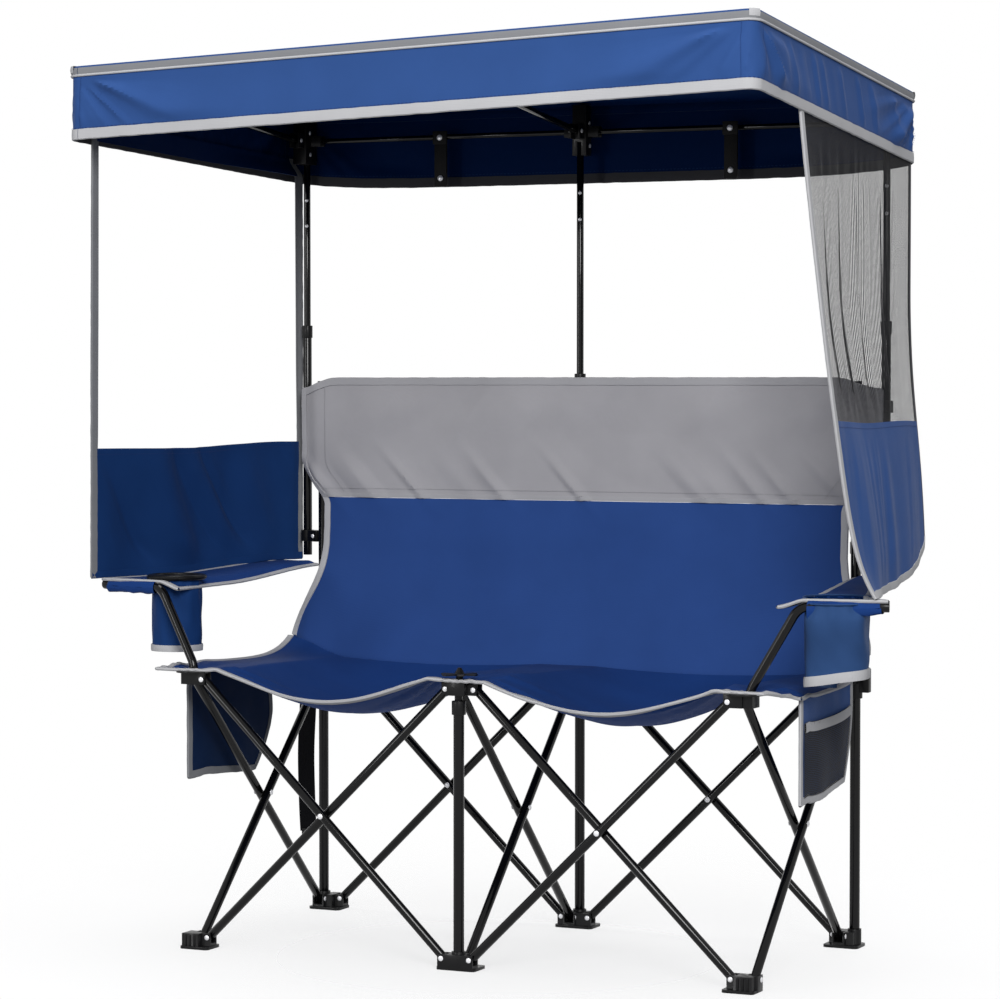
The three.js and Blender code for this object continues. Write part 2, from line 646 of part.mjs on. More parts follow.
function canopyHub(name, place, strutSides, strutLane) {
  const rear = Math.max(place.y + hubHalf, strutLane + strutRadius + slotWall);
  const top = canopyUnder(place.x, rear) - 2 * fitGap;
  const armSlot = armRadius + slotGap;
  const earHalf = strutRadius + slotGap;
  const nose = tiltAxisY - armPad;
  const slotRear = tiltAxisY + armRadius + slotEnd;
  const pin = (middle, dir, half) => rod(middle.clone().addScaledVector(dir, -half),
    middle.clone().addScaledVector(dir, half), hubPinRadius, pinSides);
  const body = block(place.x - hubHalf, place.x + hubHalf, slotRear + slotWall, rear, hubLow, top);
  const cheeks = block(place.x - armSlot - cheek, place.x + armSlot + cheek, nose, place.y,
    tiltAxisZ - hubHalf, tiltAxisZ + hubHalf);
  const slot = block(place.x - armSlot, place.x + armSlot, nose - cut, slotRear,
    tiltAxisZ - 2 * hubHalf, tiltAxisZ + 2 * hubHalf);
  const hinge = pin(vec(place.x, tiltAxisY, tiltAxisZ), alongX, armSlot + earWall);
  let solid = body.add(cheeks).subtract(slot).add(hinge);
  for (const side of strutSides) {
    const end = place.x + side * (strutReach + earPad);
    const ears = block(place.x, end, strutLane - earHalf - earWall, strutLane + earHalf + earWall,
      tiltAxisZ - earHalfTall, tiltAxisZ + earHalfTall);
    const gap = block(place.x + side * (hubHalf + slotGap), end + side * cut,
      strutLane - earHalf, strutLane + earHalf,
      tiltAxisZ - earHalfTall - cut, tiltAxisZ + earHalfTall + cut);
    const pinMiddle = vec(place.x + side * strutReach, strutLane, tiltAxisZ);
    const strutPin = pin(pinMiddle, alongY, earHalf + earWall - cut);
    solid = solid.add(ears).subtract(gap).add(strutPin);
  }
  const socket = rod(at(place, hubLow - cut), at(place, poleTop + fitGap), poleRadius + fitGap);
  addPiece(name, solid.subtract(socket), plastic());
}

const innerLane = strutY - strutOffset;
const outerLane = strutY + strutOffset;
canopyHub('centre_canopy_hub', centreUpright, [-1, 1], innerLane);
canopyHub('left_canopy_hub', vec(-postX, postY, 0), [1], outerLane);
canopyHub('right_canopy_hub', vec(postX, postY, 0), [-1], outerLane);

// Rear struts in two halves; the inner half carries the folding bracket at the knuckle

const knuckleX = postX / 2;
for (const [label, side] of [['left', -1], ['right', 1]]) {
  const strut = (fromX, lane) => {
    const from = vec(side * fromX, lane, tiltAxisZ);
    const to = vec(side * knuckleX, lane, tiltAxisZ);
    const along = to.clone().sub(from).normalize();
    const tube = rod(from.clone().addScaledVector(along, -strutTail),
      to.clone().addScaledVector(along, knuckleTail), strutRadius, tubeSides);
    const hole = rod(from.clone().setY(lane - 2 * strutRadius), from.clone().setY(lane + 2 * strutRadius),
      pinRadius, pinSides);
    return tube.subtract(hole);
  };
  const plate = block(side * (knuckleX - bracketHalf), side * (knuckleX + bracketHalf),
    innerLane - bracketThick / 2, innerLane + bracketThick / 2,
    tiltAxisZ - bracketDrop, tiltAxisZ + bracketHalf);
  addPiece(`${label}_inner_strut`, strut(strutReach, innerLane).add(plate), steel(black));
  addPiece(`${label}_outer_strut`, strut(postX - strutReach, outerLane), steel(black));
}

// Tilting canopy arms

const armTipY = canopyFront + canopySkin + fitGap + slotWall;
for (const [label, x] of [['left', -postX], ['centre', 0], ['right', postX]]) {
  const pivot = vec(x, tiltAxisY, tiltAxisZ);
  const tip = vec(x, armTipY, canopyUnder(x, armTipY) - armRadius - armDrop);
  const back = pivot.clone().sub(tip).normalize().multiplyScalar(armTail);
  const tube = pipe(pivot.clone().add(back), tip, armRadius, poleWall, 10);
  const hole = rod(
    pivot.clone().setX(x - 2 * armRadius), pivot.clone().setX(x + 2 * armRadius), pinRadius, pinSides);
  addPiece(`${label}_canopy_arm`, tube.subtract(hole), steel(black));
}

// Canopy: a sloping top with a valance all round, open below

function canopyBlock(inset, low, high) {
  const x = canopyHalf - inset;
  const y0 = canopyFront + inset;
  const y1 = canopyRear - inset;
  const r = canopyCorner - inset;
  const shape = new THREE.Shape();
  shape.moveTo(-x + r, y0);
  shape.lineTo(x - r, y0);
  shape.absarc(x - r, y0 + r, r, -Math.PI / 2, 0);
  shape.absarc(x - r, y1 - r, r, 0, Math.PI / 2);
  shape.absarc(-x + r, y1 - r, r, Math.PI / 2, Math.PI);
  shape.absarc(-x + r, y0 + r, r, Math.PI, 1.5 * Math.PI);
  const tall = high - low;
  const geometry = new THREE.ExtrudeGeometry(shape, { depth: tall, bevelEnabled: false, curveSegments: 4 });
  geometry.translate(0, 0, low);
  return solidOf(geometry);
}
const canopyInside = canopyBlock(canopySkin, -valance - cut, -canopySkin);
const canopyLid = canopyBlock(0, -valance, 0).subtract(canopyInside).refineToLength(canopyCell);
addPiece('canopy', canopyLid.warp((v) => { v[2] += canopyTopAt(v[0], v[1]); }), fabric(blue));

// Seat: held level at the three hubs, each place sagging between them

const bayValley = (x) => {
  const inBay = Math.abs(x) % bayWidth;
  const share = THREE.MathUtils.clamp((inBay - seatHold) / (bayWidth - 2 * seatHold), 0, 1);
  return Math.abs(x) > bayWidth ? 0 : 1 - Math.abs(1 - 2 * share) ** seatRound;
};
const seatZ = hubTop + fitGap + cloth / 2;
const liftAt = (s) => edgeLift * ease(Math.abs(2 * s - 1), edgeShare, 1);
const seatPoint = (s, t) => {
  const half = mix(seatHalf, seatHalf - seatTaper, t);
  const x = mix(-half, half, s);
  const dip = seatDipFront * (1 - t) + 4 * seatDipMiddle * t * (1 - t) + seatDipRear * t;
  const level = mix(seatZ, creaseZ, ease(t, 0.3, 1)) + liftAt(s) * t ** 4;
  return vec(x, mix(seatFront, creaseY, t), level - dip * bayValley(x));
};
let seat = sheet(seatPoint, seatCells, 7, vec(0, 0, 1));
const seatHole = (place, radius) => rod(
  at(place, hubTop - coreHalf / 2), at(place, hubTop + stemRise - cloth), radius);
for (const place of [frontLeft, frontRight]) {
  seat = seat.subtract(seatHole(place, armTubeRadius + holeGap));
}
seat = seat.subtract(seatHole(frontCentre, stemRadius + holeGap / 2));
addPiece('seat_panel', seat, fabric(blue));

// Back: curves up from the crease to the uprights, waisted at the arms, grey above the seam

const backY = uprightY - uprightRadius - fitGap - cloth / 2;
const backLow = creaseZ + cloth / 2 + fitGap;
const backHalfAt = (z) => {
  const spread = (1 - ease(z, creaseZ, creaseZ + waistRise)) ** waistFlare;
  const waist = mix(bayWidth + waistOut, seatHalf - seatTaper - cloth, spread);
  return mix(waist, bayWidth + shoulderOut, ease(z, seamZ - shoulderLow, seamZ + shoulderHigh));
};
const backPoint = (low, high, lifted) => (s, t) => {
  const sag = seatDipRear * bayValley(mix(-1, 1, s) * (seatHalf - seatTaper));
  const z = mix(low + lifted * (liftAt(s) - sag), high, t);
  const half = backHalfAt(z);
  const bent = THREE.MathUtils.clamp((z - creaseZ - liftAt(s) + sag) / backBend, 0, 1);
  const lean = Math.sin(bent * Math.PI / 2);
  const wave = Math.sin(2 * Math.PI * Math.abs(2 * s - 1)) ** 2;
  const billow = backBillow * wave * ease(z, creaseZ, creaseZ + waistRise);
  return vec(mix(-half, half, s), mix(creaseY, backY, lean) - billow, z);
};
addPiece('back_panel', sheet(backPoint(backLow, seamZ, 1), seatCells, 7, vec(0, -1, 0)), fabric(blue));
addPiece('back_top_panel', sheet(backPoint(seamZ + fitGap, backTop, 0), 20, 3, vec(0, -1, 0)), fabric(grey));

// Arms: a bent tube from each front hub, a cloth armrest over it and back to the upright

const armSheetZ = armTubeZ + armTubeRadius + fitGap + cloth / 2;
const armRearY = uprightY - uprightRadius - armRearGap;
const armHeight = (y) => armSheetZ + armRearRise * ease(y, frontY + armRiseStart, armRearY);
const armInner = uprightX + armInnerGap;
const curtainRearX = canopyHalf - 2 * cloth;
const armOuterAt = (y) => mix(armEndX, curtainRearX, (y - armEndY) / (armRearY - armEndY));
const armPoint = (side) => (s, t) => {
  const inner = vec(mix(bayWidth + armCornerOut, armInner, t), mix(frontY + armCornerBack, armRearY, t), 0);
  const outer = vec(0, mix(armEndY - armEndLip, armRearY, t), 0);
  outer.setX(armOuterAt(outer.y) - (side < 0 ? 0 : armTuck * ease(t, 0, armTuckShare)));
  const out = side > 0 ? s : 1 - s;
  const p = inner.lerp(outer, out);
  return vec(side * p.x, p.y, armHeight(p.y) - armDroop * (1 - t / 2) * (1 - ease(out, 0, armDroopShare)));
};

for (const [label, side] of [['left', -1], ['right', 1]]) {
  const base = vec(side * bayWidth, frontY, hubPinZ - armSocket + fitGap);
  const route = [base, at(base, hubTop + armStraight + armFootBend),
    vec(side * armBendX, frontY + armBendBack, armTubeZ), vec(side * armEndX, armEndY, armTubeZ)];
  const bends = [armFootBend, armBend];
  addPiece(`${label}_arm_tube`, bentPipe(route, bends, armTubeRadius, armTubeWall, 20), steel(black));
  const cupPlace = side < 0 ? vec(-cupX, cupY, 0) : vec(bagX, bagY, 0);
  const cupHole = (side < 0 ? cupRadius : bagRadius) + cupGap;
  const hole = rod(
    at(cupPlace, armSheetZ - 10 * cloth), at(cupPlace, armSheetZ + 10 * cloth), cupHole, 16);
  const flap = sheet(armPoint(side), 5, 8, vec(0, 0, 1));
  addPiece(`${label}_armrest`, flap.subtract(hole), fabric(blue));
}

// Cup holder and cool bag hang through the armrests by a rim

function hangingCup(name, x, y, radius, tall, color) {
  const rimLow = armSheetZ + cloth / 2 + fitGap;
  const floor = rimLow - tall;
  const profile = [
    [0, floor], [radius - cupRound, floor], [radius, floor + cupRound], [radius, rimLow],
    [radius + cupRim, rimLow], [radius + cupRim, rimLow + cupRimTall],
    [radius - cupWall, rimLow + cupRimTall], [radius - cupWall, floor + cupRound + cupWall / 2],
    [radius - cupRound - cupWall / 2, floor + cupWall], [0, floor + cupWall],
  ].map(([r, z]) => new THREE.Vector2(r, z));
  const solid = solidOf(new THREE.LatheGeometry(profile, 16).rotateX(Math.PI / 2).translate(x, y, 0));
  addPiece(name, solid, fabric(color));
}
hangingCup('cup_holder', -cupX, cupY, cupRadius, cupDepth, blue);
hangingCup('cool_bag', bagX, bagY, bagRadius, bagDepth, blue);

// Side curtains from inside the valance to the armrest's outer edge, folding towards the hem

const curtainGap = canopySkin + fitGap + cloth / 2;
const curtainTopAt = (y) => {
  const round = canopyCorner - curtainGap;
  const past = Math.max(0, y - (canopyRear - canopyCorner));
  const inside = Math.sqrt(round ** 2 - past ** 2) - curtainEase * ease(past, 0, curtainTurn);
  return canopyHalf - canopyCorner + inside;
};
const curtainRear = postY + curtainLap;
const curtainPoint = (side, s, t) => {
  const front = canopyFront + (side < 0 ? leftSetback : rightSetback);
  const frontLow = armEndY - (side < 0 ? leftLead : rightLead);
  const hem = mix(side < 0 ? leftHem : rightHem, leftHem, s);
  const fall = side < 0 ? t : t * (1 - rightHemRise * ease(s, hemRound, 1));
  const yLow = mix(frontLow, curtainRear, s);
  const y = mix(mix(front, curtainRear, s), yLow, fall);
  const top = curtainTopAt(y);
  const zTop = canopyTopAt(side * top, y) - valance + curtainTuck;
  const wave = Math.sin(curtainFolds * Math.PI * s) * Math.sin(Math.PI * s) * ease(fall, foldStart, foldEnd);
  const free = Math.max(0, (fall - curtainFree) / (1 - curtainFree)) ** (side < 0 ? 1 : rightBow);
  const lean = mix(free, ease(fall, leanStart, 1), ease(s, 0, leanLead));
  const x = mix(top, armOuterAt(yLow) - hem, lean) + curtainFoldDepth * wave;
  return vec(side * x, y, mix(zTop, armHeight(armRearY) + curtainLow, fall));
};
for (const [label, side] of [['left', -1], ['right', 1]]) {
  const place = (s, t) => curtainPoint(side, side > 0 ? s : 1 - s, t);
  const held = 1 / curtainRows;
  const row = (t) => (t < held ? curtainFree * t / held : mix(curtainFree, 1, (t - held) / (1 - held)));
  let curtain = sheet((s, t) => place(s, row(t)), 18, curtainRows, vec(-side, 0, 0));
  if (side < 0) {
    const window = (s, t) => place(mix(windowEdge, 1 - windowEdge, s), mix(windowTop, windowLow, t));
    curtain = curtain.subtract(sheet(window, 10, 6, vec(-side, 0, 0), 8 * cloth));
  }
  addPiece(`${label}_side_curtain`, curtain, fabric(blue));
}

// Pockets hang from the seat's side edges, a storage strap from the left slider

const pocketTop = seatZ - cloth / 2 - fitGap;
function pocket(name, side, y0, y1, taper) {
  const point = (s, t) => {
    const y = mix(y0, mix(y1, y1 - taper, t), s);
    const bulge = pocketBulge * Math.sin(Math.PI * t) * Math.sin(Math.PI * s);
    return vec(side * (seatHalf - pocketIn - bulge), y, pocketTop - pocketSlope * s - pocketTall * t);
  };
  addPiece(name, sheet((s, t) => point(side > 0 ? s : 1 - s, t), 5, 4, vec(-side, 0, 0)), fabric(blue));
}
const leftPocketFront = frontY + leftPocketStart;
const rightPocketFront = frontY + rightPocketStart;
pocket('left_pocket', -1, leftPocketFront, leftPocketFront + leftPocketLong, 0);
pocket('right_pocket', 1, rightPocketFront, rightPocketFront + rightPocketLong, rightPocketTaper);

const strapY = uprightY + strapBack;
const strapX = uprightX + Math.sqrt((uprightRadius + slideGap + sleeveWall) ** 2 - strapBack ** 2);
const strapInner = -strapX - strapOut;
const webbing = block(
  strapInner - strapWide, strapInner, strapY, strapY + strapThick, hubTop - strapLong, hubTop);
const strapTie = block(
  strapInner - cut, -strapX, strapY, strapY + strapThick, hubTop - strapTab, hubTop);
addPiece('storage_strap', webbing.add(strapTie), fabric(black));

export default chair;
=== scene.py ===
import json
import math

import bmesh
import bpy
from mathutils import Matrix, Vector, noise

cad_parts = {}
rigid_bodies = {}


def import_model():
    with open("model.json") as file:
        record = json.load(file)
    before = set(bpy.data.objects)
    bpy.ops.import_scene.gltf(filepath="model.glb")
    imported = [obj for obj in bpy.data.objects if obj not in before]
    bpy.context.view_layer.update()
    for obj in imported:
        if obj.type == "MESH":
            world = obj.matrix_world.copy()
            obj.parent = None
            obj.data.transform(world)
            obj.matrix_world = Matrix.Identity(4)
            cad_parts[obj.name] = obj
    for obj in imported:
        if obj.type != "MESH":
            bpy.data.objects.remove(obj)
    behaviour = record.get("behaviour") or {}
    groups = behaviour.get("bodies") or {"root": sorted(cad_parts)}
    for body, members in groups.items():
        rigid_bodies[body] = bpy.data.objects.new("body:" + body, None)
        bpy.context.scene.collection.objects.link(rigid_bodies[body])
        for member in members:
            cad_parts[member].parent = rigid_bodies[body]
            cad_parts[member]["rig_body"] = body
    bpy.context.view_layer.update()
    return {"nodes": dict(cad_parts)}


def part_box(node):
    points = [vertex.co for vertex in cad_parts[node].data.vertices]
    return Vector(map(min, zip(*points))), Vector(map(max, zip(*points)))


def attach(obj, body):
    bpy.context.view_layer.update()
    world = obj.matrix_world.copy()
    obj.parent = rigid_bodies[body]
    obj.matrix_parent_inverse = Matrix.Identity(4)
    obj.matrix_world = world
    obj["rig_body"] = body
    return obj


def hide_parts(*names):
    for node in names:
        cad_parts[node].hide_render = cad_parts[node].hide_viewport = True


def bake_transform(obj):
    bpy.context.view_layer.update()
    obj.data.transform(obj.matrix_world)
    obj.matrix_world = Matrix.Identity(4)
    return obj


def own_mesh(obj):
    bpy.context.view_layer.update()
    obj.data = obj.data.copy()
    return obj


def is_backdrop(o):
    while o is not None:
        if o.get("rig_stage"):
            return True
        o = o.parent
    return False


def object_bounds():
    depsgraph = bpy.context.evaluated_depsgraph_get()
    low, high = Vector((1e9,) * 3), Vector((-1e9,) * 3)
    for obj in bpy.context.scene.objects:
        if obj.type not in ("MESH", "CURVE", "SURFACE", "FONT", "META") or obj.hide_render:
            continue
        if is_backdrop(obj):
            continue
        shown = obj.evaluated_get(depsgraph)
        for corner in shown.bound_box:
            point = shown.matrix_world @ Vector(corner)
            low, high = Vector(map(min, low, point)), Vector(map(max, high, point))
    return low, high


for leftover in list(bpy.data.objects):
    bpy.data.objects.remove(leftover)
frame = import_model()
bodyOf = {node: piece["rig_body"] for node, piece in frame["nodes"].items()}

# Shared places of the frame, metres, the chair faces -Y
chair = {
    "bay": 0.536, "frontY": -0.1625, "rearY": 0.3555, "pinReachX": 0.027, "pinReachY": 0.018,
    "footPin": 0.020, "hubPin": 0.492, "pairOffset": 0.009, "legRadius": 0.008,
    "cheekOut": 0.0122, "uprightX": 0.548, "uprightY": 0.3615, "postX": 0.596, "postY": 0.3865,
    "tiltY": 0.3405, "tiltZ": 1.500,
}
xAxis, yAxis, up = Vector((1, 0, 0)), Vector((0, 1, 0)), Vector((0, 0, 1))
sides = (("left", -1), ("right", 1))


def mix(a, b, t):
    return a + (b - a) * t


def clamp(value, low=0.0, high=1.0):
    return max(low, min(high, value))


def smooth(low, high, value):
    t = clamp((value - low) / (high - low))
    return t * t * (3 - 2 * t)


def hump(value, centre, width):
    return math.exp(-((value - centre) / width) ** 2)


def arch(share):
    return math.sin(math.pi * clamp(share))


def ripple(x, y, z, size):
    return noise.noise(Vector((x, y, z)) / size)


def fold(x, y, z, size):
    return max(0.0, 1 - 3.2 * abs(ripple(x, y, z, size)))


linkIn = bpy.context.scene.collection.objects.link

# Materials

def settle(node, values):
    for name, value in values.items():
        node.inputs[name].default_value = value
    return node


def newNode(tree, kind, values=None):
    return settle(tree.nodes.new("ShaderNode" + kind), values or {})


def shaderOf(name, colour, roughness, metallic=0.0, specular=0.5):
    material = bpy.data.materials.new(name)
    material.use_nodes = True
    tree = material.node_tree
    shader = settle(tree.nodes["Principled BSDF"], {
        "Base Color": (*colour, 1), "Roughness": roughness, "Metallic": metallic, "Specular IOR Level": specular})
    return material, tree, shader


def onObject(tree, node):
    tree.links.new(newNode(tree, "TexCoord").outputs["Object"], node.inputs[0])
    return node


def noiseNode(tree, scale, detail=3.0):
    return onObject(tree, newNode(tree, "TexNoise", {"Scale": scale, "Detail": detail})).outputs["Fac"]


def waveNode(tree, direction, scale):
    wave = onObject(tree, newNode(tree, "TexWave", {"Scale": scale, "Distortion": 0.6, "Detail": 1.0}))
    wave.bands_direction = direction
    return wave.outputs["Fac"]


def spread(tree, value, low, high):
    ramp = newNode(tree, "MapRange", {"To Min": low, "To Max": high})
    tree.links.new(value, ramp.inputs["Value"])
    return ramp.outputs["Result"]


def tint(tree, shader, value, low, high):
    blendNode = newNode(tree, "Mix")
    blendNode.data_type = "RGBA"
    settle(blendNode, {"A": (*low, 1), "B": (*high, 1)})
    tree.links.new(value, blendNode.inputs["Factor"])
    tree.links.new(blendNode.outputs["Result"], shader.inputs["Base Color"])


def raised(tree, shader, height, strength, distance):
    lift = newNode(tree, "Bump", {"Strength": strength, "Distance": distance})
    tree.links.new(height, lift.inputs["Height"])
    tree.links.new(lift.outputs["Normal"], shader.inputs["Normal"])


def joined(tree, first, second):
    maths = newNode(tree, "Math")
    tree.links.new(first, maths.inputs[0])
    tree.links.new(second, maths.inputs[1])
    return maths.outputs[0]


def mixed(tree, share, first, second, target):
    chooser = newNode(tree, "MixShader")
    for source, socket in zip((share, first, second), chooser.inputs):
        tree.links.new(source, socket)
    tree.links.new(chooser.outputs["Shader"], tree.nodes[target].inputs["Surface"])


def scaled(colour, share):
    return tuple(channel * share for channel in colour)


def clothMaterial(name, colour, roughness=0.62, sheen=0.12, threads=250, cross=0.25):
    material, tree, shader = shaderOf(name, colour, roughness, specular=0.03)
    settle(shader, {"Sheen Weight": sheen, "Sheen Roughness": 0.45})
    tint(tree, shader, noiseNode(tree, 11), scaled(colour, 0.90), scaled(colour, 1.10))
    weave = joined(tree, waveNode(tree, "X", threads), waveNode(tree, "Z", threads))
    weave = joined(tree, weave, waveNode(tree, "Y", threads))
    weave = joined(tree, weave, noiseNode(tree, 420, 2))
    raised(tree, shader, weave, cross, 0.0002)
    varied = spread(tree, noiseNode(tree, 30), roughness - 0.07, roughness + 0.07)
    tree.links.new(varied, shader.inputs["Roughness"])
    return material


def hardMaterial(name, colour, roughness, metallic, grain, strength, wear, coat=0.0):
    material, tree, shader = shaderOf(name, colour, roughness, metallic, 0.12)
    settle(shader, {"Coat Weight": coat, "Coat Roughness": 0.06})
    tint(tree, shader, noiseNode(tree, 40), scaled(colour, 0.85), scaled(colour, wear))
    if strength:
        raised(tree, shader, noiseNode(tree, grain, 4), strength, 0.0002)
    varied = spread(tree, noiseNode(tree, 9), roughness * 0.94, roughness * 1.06)
    tree.links.new(varied, shader.inputs["Roughness"])
    return material


# The blue cloths are one fabric in lit and shaded copies: each copy's brightness paints the light or shade that
# falls on the parts that use it.
look = {
    "steel": hardMaterial("blackSteel", (0.002, 0.002, 0.0023), 0.12, 0.0, 900, 0, 1.3, 0.20),
    "plate": hardMaterial("mattePlate", (0.004, 0.004, 0.0045), 0.62, 0.0, 900, 0.05, 1.2),
    "plastic": hardMaterial("blackPlastic", (0.006, 0.006, 0.0065), 0.34, 0.0, 1300, 0.10, 1.25, 0.05),
    # Light grey, mostly diffuse rivet heads: the silver is real, their white brightness is a painted glint.
    "rivet": hardMaterial("rivetPaintedGlint", (0.80, 0.80, 0.82), 0.30, 0.3, 600, 0, 1.02),
    # Brightest copy: painted light on the canopy, the right curtain and the right pocket.
    "blue": clothMaterial("litBlueFabric", (0.0258, 0.068, 0.212), 0.60, 0.03),
    # Darker copy: painted shade on the back, under the canopy.
    "shadedBackBlue": clothMaterial("shadedBackFabric", (0.0201, 0.0546, 0.196), 0.62, 0.02),
    # Copy tuned darker and less blue: painted shade on the cool bag.
    "shadedBagBlue": clothMaterial("shadedBagFabric", (0.0254, 0.0621, 0.165), 0.62, 0.02),
    # Darker copy: painted shade on the seat, the armrests and the arm sleeves.
    "deepShadeBlue": clothMaterial("deepShadeFabric", (0.0106, 0.0391, 0.164), 0.64, 0.01),
    # Darker copy: painted shade on the cup holder and on the left curtain's inner face.
    "paintedShadeBlue": clothMaterial("paintedShadeFabric", (0.0081, 0.0331, 0.123), 0.60, 0.01),
    # Darkest copy: painted shade on the left pocket.
    "shadeBlue": clothMaterial("shadedFabric", (0.0045, 0.015, 0.050), 0.64, 0.0),
    # Near-black navy on the canopy's underside, the curtains' top strips and the bag's inside: painted shade, on
    # the canopy over the darker coated back of its cloth.
    "navy": clothMaterial("shadedInsideNavy", (0.0006, 0.013, 0.066), 0.6, 0.0),
    "grey": clothMaterial("greyFabric", (0.295, 0.290, 0.308), 0.66, 0.05),
    "tape": clothMaterial("greyBinding", (0.400, 0.400, 0.412), 0.72, 0.05, 120, 0.5),
    # Darker copy of the grey binding: painted shade where it binds the left curtain and the left pocket.
    "midTape": clothMaterial("midGreyBinding", (0.190, 0.194, 0.205), 0.72, 0.05, 120, 0.5),
    "greyTape": clothMaterial("panelBinding", (0.300, 0.298, 0.315), 0.72, 0.10, 120, 0.5),
    "greyThread": clothMaterial("greyThread", (0.220, 0.220, 0.232), 0.75, 0.10),
    # Near-black copy of the grey binding: painted shade on the inner half of the canopy's hem and on the right
    # curtain's rear edge.
    "shadeBinding": clothMaterial("paintedShadeBinding", (0.055, 0.055, 0.060), 0.72, 0.05, 120, 0.5),
    "webbing": clothMaterial("blackWebbing", (0.004, 0.004, 0.005), 0.75, 0.10, 90, 0.8),
    "net": clothMaterial("blackNet", (0.016, 0.016, 0.018), 0.70, 0.05),
    "thread": clothMaterial("blueThread", (0.014, 0.036, 0.140), 0.75, 0.10),
}
print("materials", len(look))


# Mesh building

clothThick = {"sling": 0.0016, "light": 0.0014, "stiff": 0.0018}


def surface(bm, across, along, point, material=0):
    made = bmesh.ops.create_grid(bm, x_segments=across, y_segments=along, size=0.5)
    middles = {face: face.calc_center_median() + Vector((0.5, 0.5, 0)) for face in paint(made, material)}
    for vert in made["verts"]:
        vert.co = point(vert.co.x + 0.5, vert.co.y + 0.5)
    return middles


def paint(made, material):
    faces = {face for vert in made["verts"] for face in vert.link_faces}
    for face in faces:
        face.material_index = material
    return faces


def roundOff(bm, lines, edge, segments=2):
    bmesh.ops.bevel(bm, geom=list(lines), offset=edge, offset_type="OFFSET", segments=segments, profile=0.5,
                    affect="EDGES", clamp_overlap=True, material=-1)


def weldAll(bm):
    bmesh.ops.remove_doubles(bm, verts=bm.verts[:], dist=1e-5)


def cutHole(bm, spot, radius):
    gone = [face for face in bm.faces if (face.calc_center_median().xy - spot.xy).length < radius]
    bmesh.ops.delete(bm, geom=gone, context="FACES")


def thicken(bm, faces, thickness, inside=None):
    bm.normal_update()
    made = bmesh.ops.solidify(bm, geom=list(faces), thickness=thickness)
    if inside is not None:
        for face in made["geom"]:
            if isinstance(face, bmesh.types.BMFace):
                face.material_index = inside


def cylinder(bm, start, end, radius, sides=24, material=0, taper=1.0, edge=0.0):
    axis = end - start
    turn = axis.to_track_quat("Z", "Y").to_matrix().to_4x4()
    made = bmesh.ops.create_cone(
        bm, cap_ends=True, segments=sides, radius1=radius, radius2=radius * taper, depth=axis.length,
        matrix=Matrix.Translation((start + end) / 2) @ turn)
    faces = paint(made, material)
    if edge:
        roundOff(bm, {line for face in faces if len(face.verts) > 4 for line in face.edges}, edge, 3)


def block(bm, low, high, edge=0.001, material=0, turn=None):
    size = high - low
    place = Matrix.Translation((low + high) / 2)
    if turn is not None:
        place = place @ turn
    made = bmesh.ops.create_cube(bm, size=1.0, matrix=place @ Matrix.Diagonal((*size, 1)))
    paint(made, material)
    roundOff(bm, {line for vert in made["verts"] for line in vert.link_edges}, edge)


def rivet(bm, place, axis, radius=0.0048, height=0.0016, material=1):
    turn = axis.to_track_quat("Z", "Y").to_matrix().to_4x4()
    made = bmesh.ops.create_uvsphere(
        bm, u_segments=16, v_segments=8, radius=1.0,
        matrix=Matrix.Translation(place) @ turn @ Matrix.Diagonal((radius, radius, height, 1)))
    paint(made, material)


def sweep(bm, path, radius, sides=16, material=0):
    count = len(path)
    steps = [(path[min(i + 1, count - 1)] - path[max(i - 1, 0)]).normalized() for i in range(count)]
    side = steps[0].orthogonal().normalized()
    frames = []
    for step in steps:
        side = (side - step * side.dot(step)).normalized()
        frames.append((side.copy(), step.cross(side)))

    def point(u, v):
        i = min(count - 1, round(u * (count - 1)))
        angle = 2 * math.pi * v
        return path[i] + (frames[i][0] * math.cos(angle) + frames[i][1] * math.sin(angle)) * radius

    surface(bm, count - 1, sides, point, material)


def border(place, path, u, inward):
    s, t = path(u)
    here = place(s, t)
    ahead = place(*path(min(1.0, u + 0.004)))
    behind = place(*path(max(0.0, u - 0.004)))
    inner = place(s + inward[0] * 0.01, t + inward[1] * 0.01) - here
    inner.normalize()
    normal = inner.cross(ahead - behind).normalized()
    return here, inner, normal


def tape(bm, place, path, inward, steps, width=0.010, thick=0.0016, material=1, pucker=0.0, innerHalf=None):
    loop = [(width, thick), (0.4 * width, 1.2 * thick), (-0.5 * thick, thick), (-1.2 * thick, 0),
            (-0.5 * thick, -thick), (0.4 * width, -1.2 * thick), (width, -thick)]

    def point(u, v):
        here, inner, normal = border(place, path, u, inward)
        reach, lift = loop[round(v * len(loop)) % len(loop)]
        wave = pucker * ripple(here.x, here.y, here.z, 0.018) if pucker else 0.0
        return here + inner * (reach + wave) + normal * lift

    for face, middle in surface(bm, steps, len(loop), point, material).items():
        if innerHalf is not None and middle.y * len(loop) < 3:
            face.material_index = innerHalf


def sideTapes(bm, place, steps, width, thick, pucker):
    for edge in (0.0, 1.0):
        tape(bm, place, lambda u: (edge, u), (1 - 2 * edge, 0), steps, width, thick, 1, pucker)


def band(bm, place, path, inward, steps, width, lift=0.0012, material=1, innerHalf=None):
    loop = [(0, lift), (width / 2, lift * 1.3), (width, lift)]
    loop += [(reach, -rise) for reach, rise in reversed(loop)]

    def point(u, v):
        here, inner, normal = border(place, path, u, inward)
        reach, rise = loop[round(v * len(loop)) % len(loop)]
        return here + inner * reach + normal * rise

    for face, middle in surface(bm, steps, len(loop), point, material).items():
        if innerHalf is not None and middle.y * len(loop) < 2:
            face.material_index = innerHalf


